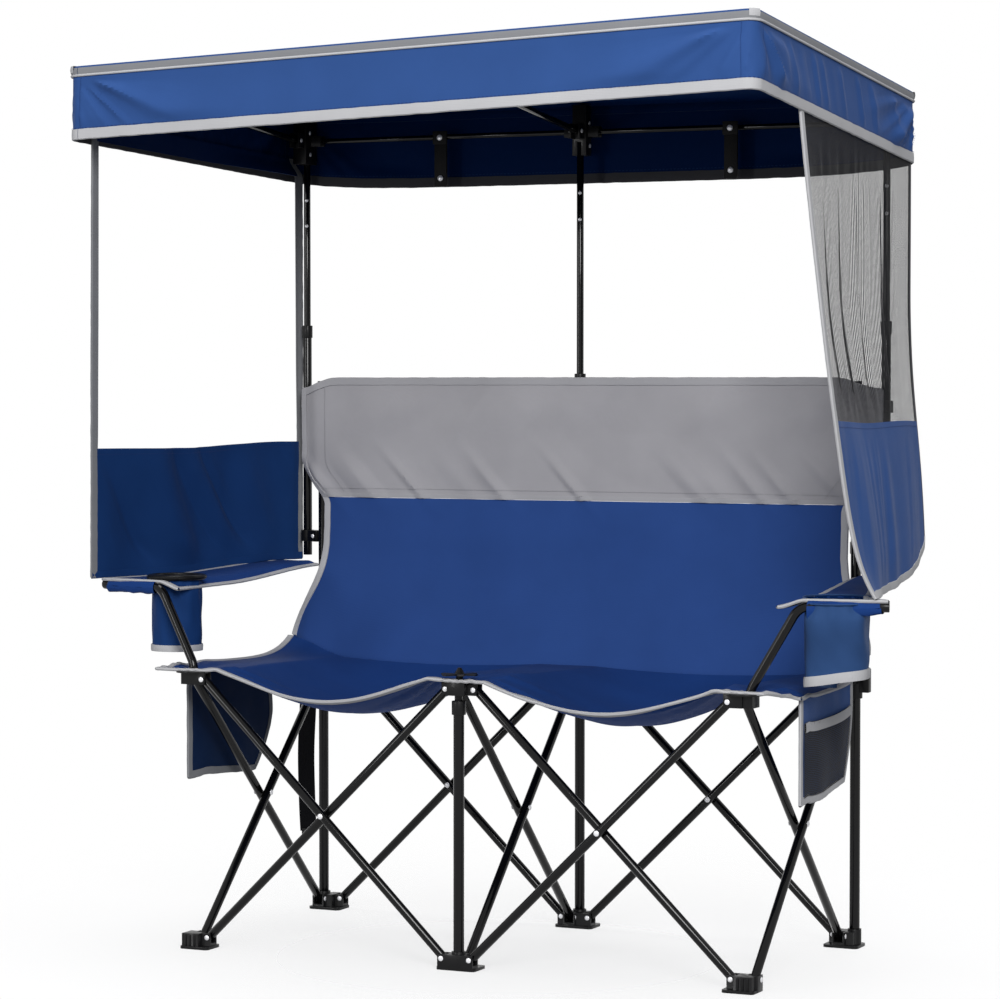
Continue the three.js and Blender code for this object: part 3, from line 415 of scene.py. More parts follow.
def stitches(bm, place, path, inward, count, lift=0.0016, width=0.0009, material=2):
    for side in (1, -1):
        def point(u, v):
            here, inner, normal = border(place, path, u, inward)
            return here + inner * (v - 0.5) * width + normal * lift * side

        middles = surface(bm, 2 * count, 1, point, material)
        gaps = {face for face, middle in middles.items() if int(middle.x * 2 * count) % 2}
        kept = [face for face in middles if face not in gaps]
        bmesh.ops.delete(bm, geom=list(gaps), context="FACES")
        bm.normal_update()
        bmesh.ops.solidify(bm, geom=kept, thickness=0.0004)


def netting(bm, point, counts, threads, steps, margin):
    for k in range(counts[0] + 1):
        s = mix(margin, 1 - margin, k / counts[0])
        surface(bm, 1, steps[0], lambda u, v: point(s + (u - 0.5) * threads[0], v))
    for k in range(counts[1] + 1):
        t = k / counts[1]
        surface(bm, steps[1], 1, lambda u, v: point(mix(margin, 1 - margin, u), t + (v - 0.5) * threads[1]))


def piece(name, bm, materials, body, replaced=(), slot="blue_fabric", sharp=38, weld=1e-6):
    bmesh.ops.remove_doubles(bm, verts=bm.verts[:], dist=weld)
    limit = math.radians(sharp)
    for face in bm.faces:
        face.smooth = True
    for line in bm.edges:
        line.smooth = len(line.link_faces) != 2 or line.calc_face_angle(0) < limit
    mesh = bpy.data.meshes.new(name)
    bm.to_mesh(mesh)
    bm.free()
    for key in materials:
        mesh.materials.append(look[key])
    made = bpy.data.objects.new(name, mesh)
    linkIn(made)
    if body:
        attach(made, body)
    if replaced:
        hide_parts(*replaced)
    return made


def softened(node, edge=0.0010):
    bm = bmesh.new()
    bm.from_mesh(frame["nodes"][node].data)
    weldAll(bm)
    bmesh.ops.dissolve_limit(bm, angle_limit=math.radians(1), verts=bm.verts[:], edges=bm.edges[:])
    limit = math.radians(40)
    hard = [line for line in bm.edges if len(line.link_faces) == 2 and line.calc_face_angle(0) > limit]
    roundOff(bm, hard, edge)
    for face in bm.faces:
        face.material_index = 0
    return bm


def tubeLine(node, direction):
    spots = [vert.co.copy() for vert in frame["nodes"][node].data.vertices]
    spans = [spot.dot(direction) for spot in spots]
    low, high = min(spans), max(spans)
    near = [spot for spot, span in zip(spots, spans) if span - low < 0.0006]
    far = [spot for spot, span in zip(spots, spans) if high - span < 0.0006]
    return sum(near, Vector()) / len(near), sum(far, Vector()) / len(far)


# Camera, light and floor

view = {"place": (2.5637, -5.4858, 1.0310), "yaw": 25.03, "pitch": 2.0, "lens": 121.84}
eye = bpy.data.cameras.new("camera")
eye.lens = view["lens"]
eye.sensor_width = 36
eye.clip_end = 60
camera = bpy.data.objects.new("camera", eye)
camera.location = view["place"]
camera.rotation_euler = (math.radians(90 - view["pitch"]), 0, math.radians(view["yaw"]))
linkIn(camera)
bpy.context.scene.camera = camera
bpy.context.scene.view_settings.view_transform = "Standard"


def softLight(name, place, target, size, power):
    lamp = bpy.data.lights.new(name, "AREA")
    lamp.shape = "RECTANGLE"
    lamp.size = size[0]
    lamp.size_y = size[1]
    lamp.energy = power
    lampObject = bpy.data.objects.new(name, lamp)
    lampObject.location = place
    lampObject.rotation_euler = (Vector(target) - Vector(place)).to_track_quat("-Z", "Y").to_euler()
    linkIn(lampObject)


softLight("keyLight", (2.6, -4.4, 2.9), (0, 0, 0.8), (2.0, 2.2), 275)
softLight("fillLight", (-2.6, -4.4, 1.9), (0, 0, 0.7), (0.6, 2.6), 70)
softLight("topLight", (0, 0.2, 4.6), (0, 0, 0), (3.4, 2.6), 150)

world = bpy.data.worlds.new("studio")
bpy.context.scene.world = world
world.use_nodes = True
sky = world.node_tree
background = settle(sky.nodes["Background"], {"Color": (0.86, 0.88, 0.92, 1), "Strength": 0.30})
plain = newNode(sky, "Background", {"Color": (1, 1, 1, 1), "Strength": 1.0})
seen = newNode(sky, "LightPath")
mirrored = joined(sky, seen.outputs["Is Glossy Ray"], seen.outputs["Is Transmission Ray"])
shown = joined(sky, seen.outputs["Is Camera Ray"], mirrored)
mixed(sky, shown, background.outputs["Background"], plain.outputs["Background"], "World Output")

floorMesh = bmesh.new()
surface(floorMesh, 2, 2, lambda u, v: Vector(((u - 0.5) * 12, (v - 0.5) * 12, -0.0005)))
floorData = bpy.data.meshes.new("floor")
floorMesh.to_mesh(floorData)
floorMesh.free()
floorMaterial, floorTree, floorShader = shaderOf("paleFloor", (0.93, 0.93, 0.94), 0.6, specular=0.2)
tint(floorTree, floorShader, noiseNode(floorTree, 3), (0.92, 0.92, 0.93), (0.94, 0.94, 0.95))
distance = onObject(floorTree, newNode(floorTree, "VectorMath"))
distance.operation = "LENGTH"
fade = newNode(floorTree, "MapRange", {"From Min": 0.0, "From Max": 1.8, "To Min": 0.70})
fade.interpolation_type = "SMOOTHSTEP"
floorTree.links.new(distance.outputs["Value"], fade.inputs["Value"])
clear = newNode(floorTree, "BsdfTransparent")
mixed(floorTree, fade.outputs["Result"], floorShader.outputs["BSDF"], clear.outputs["BSDF"], "Material Output")
floorData.materials.append(floorMaterial)
floor = bpy.data.objects.new("floor", floorData)
linkIn(floor)
floor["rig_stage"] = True
print("stage set")


# Crossed legs: round tubes with rounded ends, a rivet through each crossing

legRun = {"run": 0.482, "rise": 0.472}
for node in sorted(frame["nodes"]):
    if not node.endswith("_leg"):
        continue
    low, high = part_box(node)
    alongX = high.x - low.x > high.y - low.y
    spots = [vert.co for vert in frame["nodes"][node].data.vertices]
    middle = (low + high) / 2
    lean = sum(((p.x - middle.x) if alongX else (p.y - middle.y)) * (p.z - middle.z) for p in spots)
    run = math.copysign(legRun["run"], lean)
    direction = Vector((run, 0, legRun["rise"])) if alongX else Vector((0, run, legRun["rise"]))
    direction.normalize()
    start, end = tubeLine(node, direction)
    bm = bmesh.new()
    cylinder(bm, start, end, chair["legRadius"], 24, edge=0.0016)
    lateral = yAxis if alongX else xAxis
    if "first" in node:
        cross = (start + end) / 2
        out = chair["legRadius"] + 0.0003
        for reach in (-out, 2 * chair["pairOffset"] + out):
            rivet(bm, cross + lateral * reach, lateral, 0.0052, 0.0020)
    piece(node + "_tube", bm, ["steel", "rivet"], bodyOf[node], [node], "black_steel")
print("legs done")


# Feet, hubs and sliders: the moulded blocks with rivet heads on every clevis

ports = {
    "front_left_foot": [(1, 0, 1), (0, 1, 1)], "front_right_foot": [(-1, 0, 1), (0, 1, 1)],
    "front_centre_foot": [(-1, 0, -1), (1, 0, -1), (0, 1, 1)],
    "rear_left_foot": [(1, 0, 1), (0, -1, -1)], "rear_right_foot": [(-1, 0, 1), (0, -1, -1)],
    "rear_centre_foot": [(-1, 0, -1), (1, 0, -1), (0, -1, -1)],
    "rear_left_slider": [(1, 0, -1), (0, -1, 1)], "rear_right_slider": [(-1, 0, -1), (0, -1, 1)],
    "rear_centre_slider": [(-1, 0, 1), (1, 0, 1), (0, -1, 1)],
    "front_left_hub": [(1, 0, -1), (0, 1, -1)], "front_right_hub": [(-1, 0, -1), (0, 1, -1)],
    "front_centre_hub": [(-1, 0, 1), (1, 0, 1), (0, 1, -1)],
}
for node, clevises in ports.items():
    bm = softened(node)
    x = chair["bay"] * (("right" in node) - ("left" in node))
    y = chair["frontY"] if "front" in node else chair["rearY"]
    isFoot = node.endswith("foot")
    z = chair["footPin"] if isFoot else chair["hubPin"]
    for dx, dy, off in clevises:
        lateral = yAxis if dx else xAxis
        pin = Vector((x + dx * chair["pinReachX"], y + dy * chair["pinReachY"], z))
        pin += lateral * off * chair["pairOffset"]
        for side in (1, -1):
            rivet(bm, pin + lateral * side * (chair["cheekOut"] + 0.0002), lateral)
    if node == "rear_right_slider":
        lug = Vector((chair["uprightX"] + 0.019, chair["uprightY"], 0.487))
        block(bm, lug - Vector((0.009, 0.008, 0.022)), lug + Vector((0.009, 0.008, 0.022)), 0.002)
        rivet(bm, lug + Vector((0.003, -0.0082, 0.008)), yAxis)
    if isFoot:
        rear = 1 if "front" in node else -1
        for k in (-1, 0, 1):
            rib = Vector((x + k * 0.009, y - rear * 0.0168, 0.005))
            cylinder(bm, rib, rib + up * 0.021, 0.0026, 12, edge=0.0008)
    piece(node + "_moulding", bm, ["plastic", "rivet"], bodyOf[node], [node], "black_plastic")
print("mouldings done")


# Uprights, posts, poles, arms and struts

poleSpec = {"upright": 0.0095, "pole": 0.0066, "post": 0.0085, "arm": 0.0065, "strut": 0.005, "bracketX": 0.298,
            "clamps": (0.728, 0.985), "clampHalf": 0.011, "collar": 0.024, "button": 0.0035}
for node in ("rear_left_upright", "rear_right_upright", "rear_centre_upright",
             "left_canopy_pole", "centre_canopy_pole", "right_canopy_pole"):
    radius = poleSpec["upright" if "upright" in node else "pole"]
    start, end = tubeLine(node, up)
    bm = bmesh.new()
    cylinder(bm, start, end, radius, 28, edge=0.0008)
    if "upright" in node:
        cylinder(bm, end - up * 0.014, end + up * 0.0015, radius + 0.0012, 28, 1, edge=0.001)
    else:
        for k in (0.0, 0.05):
            spot = Vector((start.x + 0.3 * radius, start.y - 0.95 * radius, 1.385 - k))
            rivet(bm, spot, Vector((0.3, -0.95, 0)), poleSpec["button"], 0.0035, 2)
    piece(node + "_tube", bm, ["steel", "plastic", "rivet"], bodyOf[node], [node], "black_steel")

start, end = tubeLine("front_post", up)
bm = bmesh.new()
cylinder(bm, start, end, poleSpec["upright"], 28)
cylinder(bm, end - up * poleSpec["collar"], end + up * 0.0005, 0.0125, 28, 1, edge=0.0012)
piece("front_post_tube", bm, ["steel", "plastic"], bodyOf["front_post"], ["front_post"], "black_steel")

for label, side in sides:
    node = label + "_canopy_post"
    start, end = tubeLine(node, up)
    foot = Vector((side * chair["postX"], chair["postY"], start.z))
    bm = bmesh.new()
    top = foot + up * (end.z - start.z)
    cylinder(bm, foot, top, poleSpec["post"], 28, edge=0.0006)
    cylinder(bm, top - up * poleSpec["collar"], top + up * 0.0005, 0.0102, 28, 1, edge=0.0012)
    upright = Vector((side * chair["uprightX"], chair["uprightY"], 0))
    for z in poleSpec["clamps"]:
        web = Vector((foot.x, foot.y, 0)) - upright
        turn = Matrix.Rotation(math.atan2(web.y, web.x), 4, "Z")
        middle = (Vector((foot.x, foot.y, 0)) + upright) / 2 + up * z
        half = Vector((web.length / 2 - 0.012, 0.010, poleSpec["clampHalf"]))
        block(bm, middle - half, middle + half, 0.0015, 1, turn)
        for x, y, radius in ((foot.x, foot.y, 0.0133), (upright.x, upright.y + 0.006, 0.0130)):
            clampFoot = Vector((x, y, z - poleSpec["clampHalf"]))
            cylinder(bm, clampFoot, clampFoot + up * 2 * poleSpec["clampHalf"], radius, 28, 1, edge=0.0012)
        rivet(bm, middle - Vector((0, 0.0118, 0)), Vector((0, -1, 0)), 0.004, 0.002, 2)
    piece(node + "_tube", bm, ["steel", "plastic", "rivet"], bodyOf[node], [node], "black_steel")

for label in ("left", "centre", "right"):
    node = label + "_canopy_arm"
    low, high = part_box(node)
    start, end = tubeLine(node, Vector((0, low.y - high.y, high.z - low.z - 0.013)).normalized())
    bm = bmesh.new()
    cylinder(bm, start, end, poleSpec["arm"], 24, edge=0.0012)
    tip = (end - start).normalized()
    cylinder(bm, end - tip * 0.018, end + tip * 0.0005, 0.0074, 24, 1, edge=0.0012)
    piece(node + "_tube", bm, ["steel", "plastic"], bodyOf[node], [node], "black_steel")
    node = label + "_canopy_hub"
    bm = softened(node)
    x = {"left": -1, "centre": 0, "right": 1}[label] * chair["postX"]
    for side in (1, -1):
        for dz, dy in ((0.0, 0.0), (-0.026, 0.034), (0.016, 0.032)):
            out = 0.0142 if dz else 0.0123
            place = Vector((x + side * out, chair["tiltY"] + dy, chair["tiltZ"] + dz))
            rivet(bm, place, xAxis, 0.0042, 0.0016)
        rivet(bm, Vector((x + side * 0.009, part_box(node)[0].y + 0.0249, chair["tiltZ"] - 0.024)),
              yAxis, 0.0042, 0.0016)
    piece(node + "_moulding", bm, ["plastic", "rivet"], bodyOf[node], [node], "black_plastic")

for label, side in sides:
    for half in ("inner", "outer"):
        node = f"{label}_{half}_strut"
        low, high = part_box(node)
        y = (low.y + high.y) / 2
        bm = bmesh.new()
        ends = (Vector((low.x, y, chair["tiltZ"])), Vector((high.x, y, chair["tiltZ"])))
        cylinder(bm, *ends, poleSpec["strut"], 20, edge=0.001)
        if half == "inner":
            x = side * poleSpec["bracketX"]
            for wide, near, far, foot, top in ((0.013, -0.0025, 0.0025, 1.405, 1.509),
                                               (0.015, -0.0060, -0.0015, 1.486, 1.511)):
                block(bm, Vector((x - wide, y + near, foot)), Vector((x + wide, y + far, top)), 0.0008, 1)
            for z, out in ((1.4985, 0.0064), (1.421, 0.0027)):
                rivet(bm, Vector((x, y - out, z)), yAxis, 0.0058, 0.0020, 2)
        piece(node + "_tube", bm, ["steel", "plate", "rivet"], bodyOf[node], [node], "black_steel")
print("poles done")


# Seat: held level at the hubs, sagging in each place, bound in grey tape

seat = {"half": 0.605, "taper": 0.015, "front": -0.1795, "crease": 0.2965, "z": 0.5073, "creaseZ": 0.500,
        "dipFront": 0.046, "dipMiddle": 0.053, "dipRear": 0.008, "hold": 0.055, "lift": 0.036,
        "liftFrom": 0.78, "cornerBack": 0.095, "cornerDrop": 0.018}


def valley(x):
    inBay = abs(x) % chair["bay"]
    share = clamp((inBay - seat["hold"]) / (chair["bay"] - 2 * seat["hold"]))
    return 0.0 if abs(x) > chair["bay"] else 1 - abs(1 - 2 * share) ** 1.85


def edgeLift(s):
    return seat["lift"] * smooth(seat["liftFrom"], 1, abs(2 * s - 1))


def seatPoint(s, t):
    half = mix(seat["half"], seat["half"] - seat["taper"], t)
    x = (2 * s - 1) * half
    corner = smooth(chair["bay"] + 0.6 * seat["hold"], seat["half"], x)
    y = mix(seat["front"] + seat["cornerBack"] * corner, seat["crease"], t)
    dip = seat["dipFront"] * (1 - t) + 4 * seat["dipMiddle"] * t * (1 - t) + seat["dipRear"] * t
    z = mix(seat["z"], seat["creaseZ"], smooth(0.3, 1, t)) + edgeLift(s) * t ** 9 - dip * valley(x)
    hubX = chair["bay"] * round(x / chair["bay"])
    away = math.hypot(x - hubX, y - chair["frontY"])
    turned = math.atan2(y - chair["frontY"], x - hubX)
    gathered = 0.0060 * hump(away, 0.11, 0.07) * fold(turned * 0.10, hubX, away * 0.04, 0.050)
    z += gathered * (1 - smooth(0.7, 1, t))
    z += 0.0040 * ripple(x, y * 1.6, 3.1, 0.10) * valley(x) * smooth(0.04, 0.2, t) * (1 - smooth(0.8, 1, t))
    return Vector((x, y, z - seat["cornerDrop"] * corner * (1 - t ** 3)))


bm = bmesh.new()
surface(bm, 240, 80, seatPoint)
for x in (-chair["bay"], 0.0, chair["bay"]):
    cutHole(bm, Vector((x, chair["frontY"], 0)), 0.0105 if x else 0.0075)
thicken(bm, bm.faces[:], clothThick["sling"])
tape(bm, seatPoint, lambda u: (u, 0.0), (0, 1), 260, 0.011, 0.0026, 1, 0.0006)
sideTapes(bm, seatPoint, 90, 0.010, 0.0026, 0.0006)
stitches(bm, seatPoint, lambda u: (u, 0.030), (0, 1), 240, 0.0018)
# The seat takes a darker copy of the blue cloth, painting its shade.
seatPiece = piece("seat_cloth", bm, ["deepShadeBlue", "tape", "thread"], "seat", ["seat_panel"])
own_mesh(seatPiece)

# Back: blue from the crease to the seam, a grey top sleeved over the uprights

back = {"half": 0.590, "waist": 0.536, "flare": 1.6, "waistRise": 0.200, "shoulder": 0.595,
        "shoulderLow": 0.790, "shoulderHigh": 0.880, "y": 0.3507, "bend": 0.220, "billow": 0.007,
        "seam": 0.806, "top": 1.036, "hem": -0.026, "wrap": 0.018, "wrapFrom": 0.552, "corner": 0.020}


def backPoint(low, high, lifted):
    def place(s, t):
        foot = lifted * (edgeLift(s) - seat["dipRear"] * valley((2 * s - 1) * back["half"]))
        cut = (1 - lifted) * back["corner"] * smooth(0.86, 1, abs(2 * s - 1))
        z = mix(low + foot, high - cut, t)
        flared = (1 - smooth(seat["creaseZ"], seat["creaseZ"] + back["waistRise"], z - foot)) ** back["flare"]
        waist = mix(back["waist"], back["half"], flared)
        half = mix(waist, back["shoulder"], smooth(back["shoulderLow"], back["shoulderHigh"], z))
        lean = math.sin(clamp((z - seat["creaseZ"] - foot) / back["bend"]) * math.pi / 2)
        rise = smooth(seat["creaseZ"], seat["creaseZ"] + back["waistRise"], z)
        billow = back["billow"] * math.sin(2 * math.pi * abs(2 * s - 1)) ** 2 * rise
        x = (2 * s - 1) * half
        near = hump(z, back["seam"] + 0.03, 0.05) if z > back["seam"] else 0.25 * hump(z, back["seam"], 0.03)
        crease = 0.0080 * near * fold(x + 0.9 * z, 1.7, 0.05 * z, 0.085)
        pull = 0.0070 * hump(z, back["top"] - 0.055, 0.045) * fold(x - 0.8 * z, 5.3, 0.05 * z, 0.12)
        soft = 0.0050 * max(0.0, ripple(x + 0.4 * z, 4.2, z, 0.16) + 0.35)
        behind = 0.0016 * smooth(0, -0.01, t)
        behind += back["wrap"] * smooth(back["wrapFrom"], back["shoulder"], abs(x))
        y = mix(seat["crease"], back["y"], lean) - billow - crease - pull - soft * rise + behind
        return Vector((x, y, z))
    return place


bluePoint = backPoint(seat["creaseZ"] + 0.0014, back["seam"], 1)
bm = bmesh.new()
surface(bm, 150, 60, lambda u, v: bluePoint(u, mix(back["hem"], 1, v)))
thicken(bm, bm.faces[:], clothThick["sling"])
sideTapes(bm, bluePoint, 110, 0.011, 0.0024, 0.0006)
# The back takes a darker copy of the blue cloth, painting the shade under the canopy.
backPiece = piece("back_cloth", bm, ["shadedBackBlue", "tape", "thread"], bodyOf["back_panel"], ["back_panel"])
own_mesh(backPiece)

greyPoint = backPoint(back["seam"] + 0.0005, back["top"], 0)
bm = bmesh.new()
surface(bm, 190, 60, greyPoint)
thicken(bm, bm.faces[:], clothThick["sling"])
sideTapes(bm, greyPoint, 80, 0.011, 0.0024, 0.0006)
tape(bm, greyPoint, lambda u: (u, 1.0), (0, -1), 200, 0.012, 0.0022, 1, 0.0006)
band(bm, greyPoint, lambda u: (u, 0.0), (0, 1), 200, 0.009, 0.0014, 1)
for seam in (0.05, 0.95):
    stitches(bm, greyPoint, lambda u: (seam, 0.05 + 0.9 * u), (1, 0), 60)
stitches(bm, greyPoint, lambda u: (u, 0.075), (0, 1), 260)
greyPiece = piece("back_top_cloth", bm, ["grey", "greyTape", "greyThread"], bodyOf["back_top_panel"],
                  ["back_top_panel"], "grey_fabric")
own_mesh(greyPiece)
print("sling done")


# Arms: bent tubes, cloth armrests with a sleeve round the tube, a cup holder and a cool bag

arm = {"tubeZ": 0.654, "bendX": 0.620, "bendY": -0.1355, "endX": 0.763, "endY": -0.0955, "sheetZ": 0.6633,
       "rise": 0.016, "rearY": 0.349, "inner": 0.554, "cornerX": 0.582, "cornerY": -0.1375, "droop": 0.012,
       "droopShare": 0.25, "riseStart": 0.0365, "outerRear": 0.640, "bends": (0.010, 0.022), "tuck": 0.038,
       "tuckShare": 0.16}
cups = {"left": (-0.624, -0.0725, 0.047, 0.133), "right": (0.658, -0.0535, 0.055, 0.146)}
bagShape = {"turn": 0.27, "slant": 0.009, "lap": 0.034, "low": 0.008, "lean": 0.010}


def armHeight(y):
    return arm["sheetZ"] + arm["rise"] * smooth(arm["riseStart"], arm["rearY"], y)


def armOuter(y):
    return mix(arm["endX"], arm["outerRear"], (y - arm["endY"]) / (arm["rearY"] - arm["endY"]))


def bentPath(points, bends, steps):
    path = [points[0]]
    for k in range(1, len(points) - 1):
        bend = bends[k - 1]
        before = points[k] + (points[k - 1] - points[k]).normalized() * bend
        after = points[k] + (points[k + 1] - points[k]).normalized() * bend
        for i in range(steps + 1):
            t = i / steps
            path.append(before * (1 - t) ** 2 + points[k] * 2 * t * (1 - t) + after * t * t)
    return path + [points[-1]]


def armPoint(side):
    def place(s, t):
        innerY = mix(arm["cornerY"], arm["rearY"], t)
        outerY = mix(arm["endY"] - 0.008, arm["rearY"], t)
        tuck = arm["tuck"] * smooth(0, arm["tuckShare"], t) if side > 0 else 0.0
        x = mix(mix(arm["cornerX"], arm["inner"], t), armOuter(outerY) - tuck, s)
        y = mix(innerY, outerY, s)
        loose = 0.0022 * ripple(x * 1.4, y, 2.0 + side, 0.07) * arch(s) * smooth(0, 0.1, t)
        droop = arm["droop"] * (1 - t / 2) * (1 - smooth(0, arm["droopShare"], s))
        return Vector((side * x, y, armHeight(y) - droop + loose))
    return place


for label, side in sides:
    base = Vector((side * chair["bay"], chair["frontY"], 0.4903))
    footLean = bagShape["lean"] if side > 0 else 0.0
    corners = [base, Vector((base.x + footLean, base.y, 0.517)),
               Vector((side * arm["bendX"], arm["bendY"], arm["tubeZ"])),
               Vector((side * arm["endX"], arm["endY"], arm["tubeZ"]))]
    path = bentPath(corners, arm["bends"], 10)
    bm = bmesh.new()
    sweep(bm, path, 0.008, 24)
    tip = (corners[3] - corners[2]).normalized()
    cylinder(bm, corners[3] - tip * 0.014, corners[3] + tip * 0.002, 0.0092, 24, 1, edge=0.0012)
    node = label + "_arm_tube"
    piece(node + "_bent", bm, ["steel", "plastic"], bodyOf[node], [node], "black_steel")

    place = armPoint(side)
    cupX, cupY, cupRadius, cupDepth = cups[label]
    bm = bmesh.new()
    surface(bm, 70, 110, place)
    cutHole(bm, Vector((cupX, cupY, 0)), cupRadius - 0.002)
    thicken(bm, bm.faces[:], clothThick["sling"])
    tape(bm, place, lambda u: (u, 0.0), (0, 1), 70, 0.011, 0.0026, 1, 0.0016)
    sideTapes(bm, place, 110, 0.010, 0.0026, 0.0012)
    stitches(bm, place, lambda u: (u, 0.055), (0, 1), 40)
    node = label + "_armrest"
    # The armrests take the seat's darker cloth copy, painting their shade.
    restPiece = piece(node + "_cloth", bm, ["deepShadeBlue", "tape", "thread"], bodyOf[node], [node])
    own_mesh(restPiece)

    # Sleeve of the armrest's front edge, sewn round the arm tube
    bm = bmesh.new()
    start, end = corners[2], corners[3]

    def sleevePoint(u, v):
        along = start.lerp(end, mix(0.10, 0.94, u))
        angle = 2 * math.pi * v
        sag = 0.004 + (0.010 * (1 - u) if side > 0 else 0.0)
        sag += 0.0022 * ripple(along.x, along.y, angle * 0.02, 0.02)
        ahead = Vector((0, -1, 0))
        radial = ahead * math.cos(angle) + up * math.sin(angle)
        drop = -sag * (1 - math.sin(angle)) / 2
        return along + radial * 0.0094 + up * drop

    surface(bm, 60, 20, sleevePoint)
    node = label + "_arm_tube"
    piece(label + "_arm_sleeve", bm, ["deepShadeBlue", "tape"], bodyOf[node], (), "blue_fabric")

    # Cup holder and cool bag: a soft hanging cup with a stiff black rim and a grey band round its foot
    bm = bmesh.new()
    rim = arm["sheetZ"] + 0.0013
    floorZ = rim - cupDepth

    def around(angle, radius, z, low=0.0):
        squared, lap = 0.0, 0.0
        if label == "right":
            turned = angle - bagShape["turn"]
            lap = bagShape["lap"] * (1 - smooth(0.08, 0.95, low)) * smooth(0, 0.7, -math.sin(turned))
            corner = (abs(math.cos(turned)) ** 3.4 + abs(math.sin(turned)) ** 3.4) ** (-1 / 3.4)
            squared = (corner - 1) * smooth(0, 0.2, low)
            z += bagShape["slant"] * math.cos(angle) * low - bagShape["low"] * lap / bagShape["lap"]
        radius *= 1 + squared
        ahead = Vector((math.sin(bagShape["turn"]), -math.cos(bagShape["turn"]), 0)) * lap
        return ahead + Vector((cupX + radius * math.cos(angle), cupY + radius * math.sin(angle), z))

    def wallPoint(u, v):
        angle = 2 * math.pi * u
        z = mix(rim, floorZ + 0.004, v)
        slack = 0.0032 * ripple(math.cos(angle) * 0.10 + 0.3 * z, math.sin(angle) * 0.10, z, 0.05)
        slack *= smooth(0.02, 0.2, v)
        gather = 0.0009 * math.cos(14 * angle) * (1 - smooth(0.0, 0.45, v))
        return around(angle, cupRadius - 0.0012 + slack * (1 - smooth(0.8, 1, v)) + gather, z, v)

    def basePoint(u, v):
        floorAt = floorZ + 0.004 - 0.003 * (1 - v * v)
        return around(2 * math.pi * u, (cupRadius - 0.0012) * max(v, 0.001), floorAt, 1.0)

    surface(bm, 96, 40, wallPoint)
    surface(bm, 96, 8, basePoint)
    weldAll(bm)
    bmesh.ops.recalc_face_normals(bm, faces=bm.faces[:])
    thicken(bm, bm.faces[:], clothThick["stiff"], 3)
    footBand = 0.012 if label == "left" else 0.017
    ring = [(-0.0020, 0.000), (0.0006, 0.000), (0.0012, 0.25), (0.0012, 0.75), (0.0006, 1.0), (-0.0020, 1.0)]

    def bandPoint(u, v):
        angle = 2 * math.pi * u
        out, share = ring[round(v * len(ring)) % len(ring)]
        slack = 0.0006 * ripple(math.cos(angle), math.sin(angle), share, 0.2)
        return around(angle, cupRadius + out + slack, floorZ + 0.002 + footBand * share, 1.0)

    def rimPoint(u, v):
        turn = 2 * math.pi * v
        stiff = 1.0 if label == "left" else 0.25
        return around(2 * math.pi * u, cupRadius + 0.0015 + 0.0075 * stiff * math.cos(turn),
                      rim + (0.0052 + 0.0052 * math.sin(turn)) * stiff)

    surface(bm, 96, len(ring), bandPoint, 1)
    surface(bm, 96, 12, rimPoint, 2 if label == "left" else 0)
    node = "cup_holder" if label == "left" else "cool_bag"
    # Darker cloth copies paint the shade on the cup holder and the bag; the bag's navy inside is painted shade
    # too.
    outside, inside = ("paintedShadeBlue", "net") if label == "left" else ("shadedBagBlue", "navy")
    cup = piece(node + "_cloth", bm, [outside, "tape", "plastic", inside], bodyOf[node], [node])
print("arms done")


# Canopy: one cloth over the arms, its valance bound below and piped above

canopy = {"half": 0.644, "front": -0.4085, "rear": 0.4085, "top": 1.604, "slope": -0.052 / 0.817,
          "valance": 0.126, "corner": 0.022, "twist": 0.022, "rearDrop": 0.018}


def canopyTop(x, y):
    twist = canopy["twist"] * x / canopy["half"] * (canopy["rear"] - y) / (canopy["rear"] - canopy["front"])
    return canopy["top"] + canopy["slope"] * (y - canopy["front"]) + twist


def canopyRuns():
    arc = math.pi / 2 * canopy["corner"]
    wide = 2 * (canopy["half"] - canopy["corner"])
    deep = canopy["rear"] - canopy["front"] - 2 * canopy["corner"]
    return [wide, arc, deep, arc] * 2


def canopyEdge(u):
    corner = canopy["corner"]
    runs = canopyRuns()
    rest = (u % 1.0) * sum(runs)
    x, front, rear = canopy["half"] - corner, canopy["front"] + corner, canopy["rear"] - corner
    middles = [(x, front), (x, rear), (-x, rear), (-x, front)]
    for k in range(8):
        if rest <= runs[k] or k == 7:
            break
        rest -= runs[k]
    quarter = k // 2
    cx, cy = middles[quarter]
    angle = -math.pi / 2 + quarter * math.pi / 2
    if k % 2:
        angle += rest / corner
        return Vector((cx + corner * math.cos(angle), cy + corner * math.sin(angle), 0)), angle
    outward = Vector((math.cos(angle), math.sin(angle), 0))
    tangent = Vector((-math.sin(angle), math.cos(angle), 0))
    return Vector((cx, cy, 0)) + outward * corner - tangent * (runs[k] - rest), angle


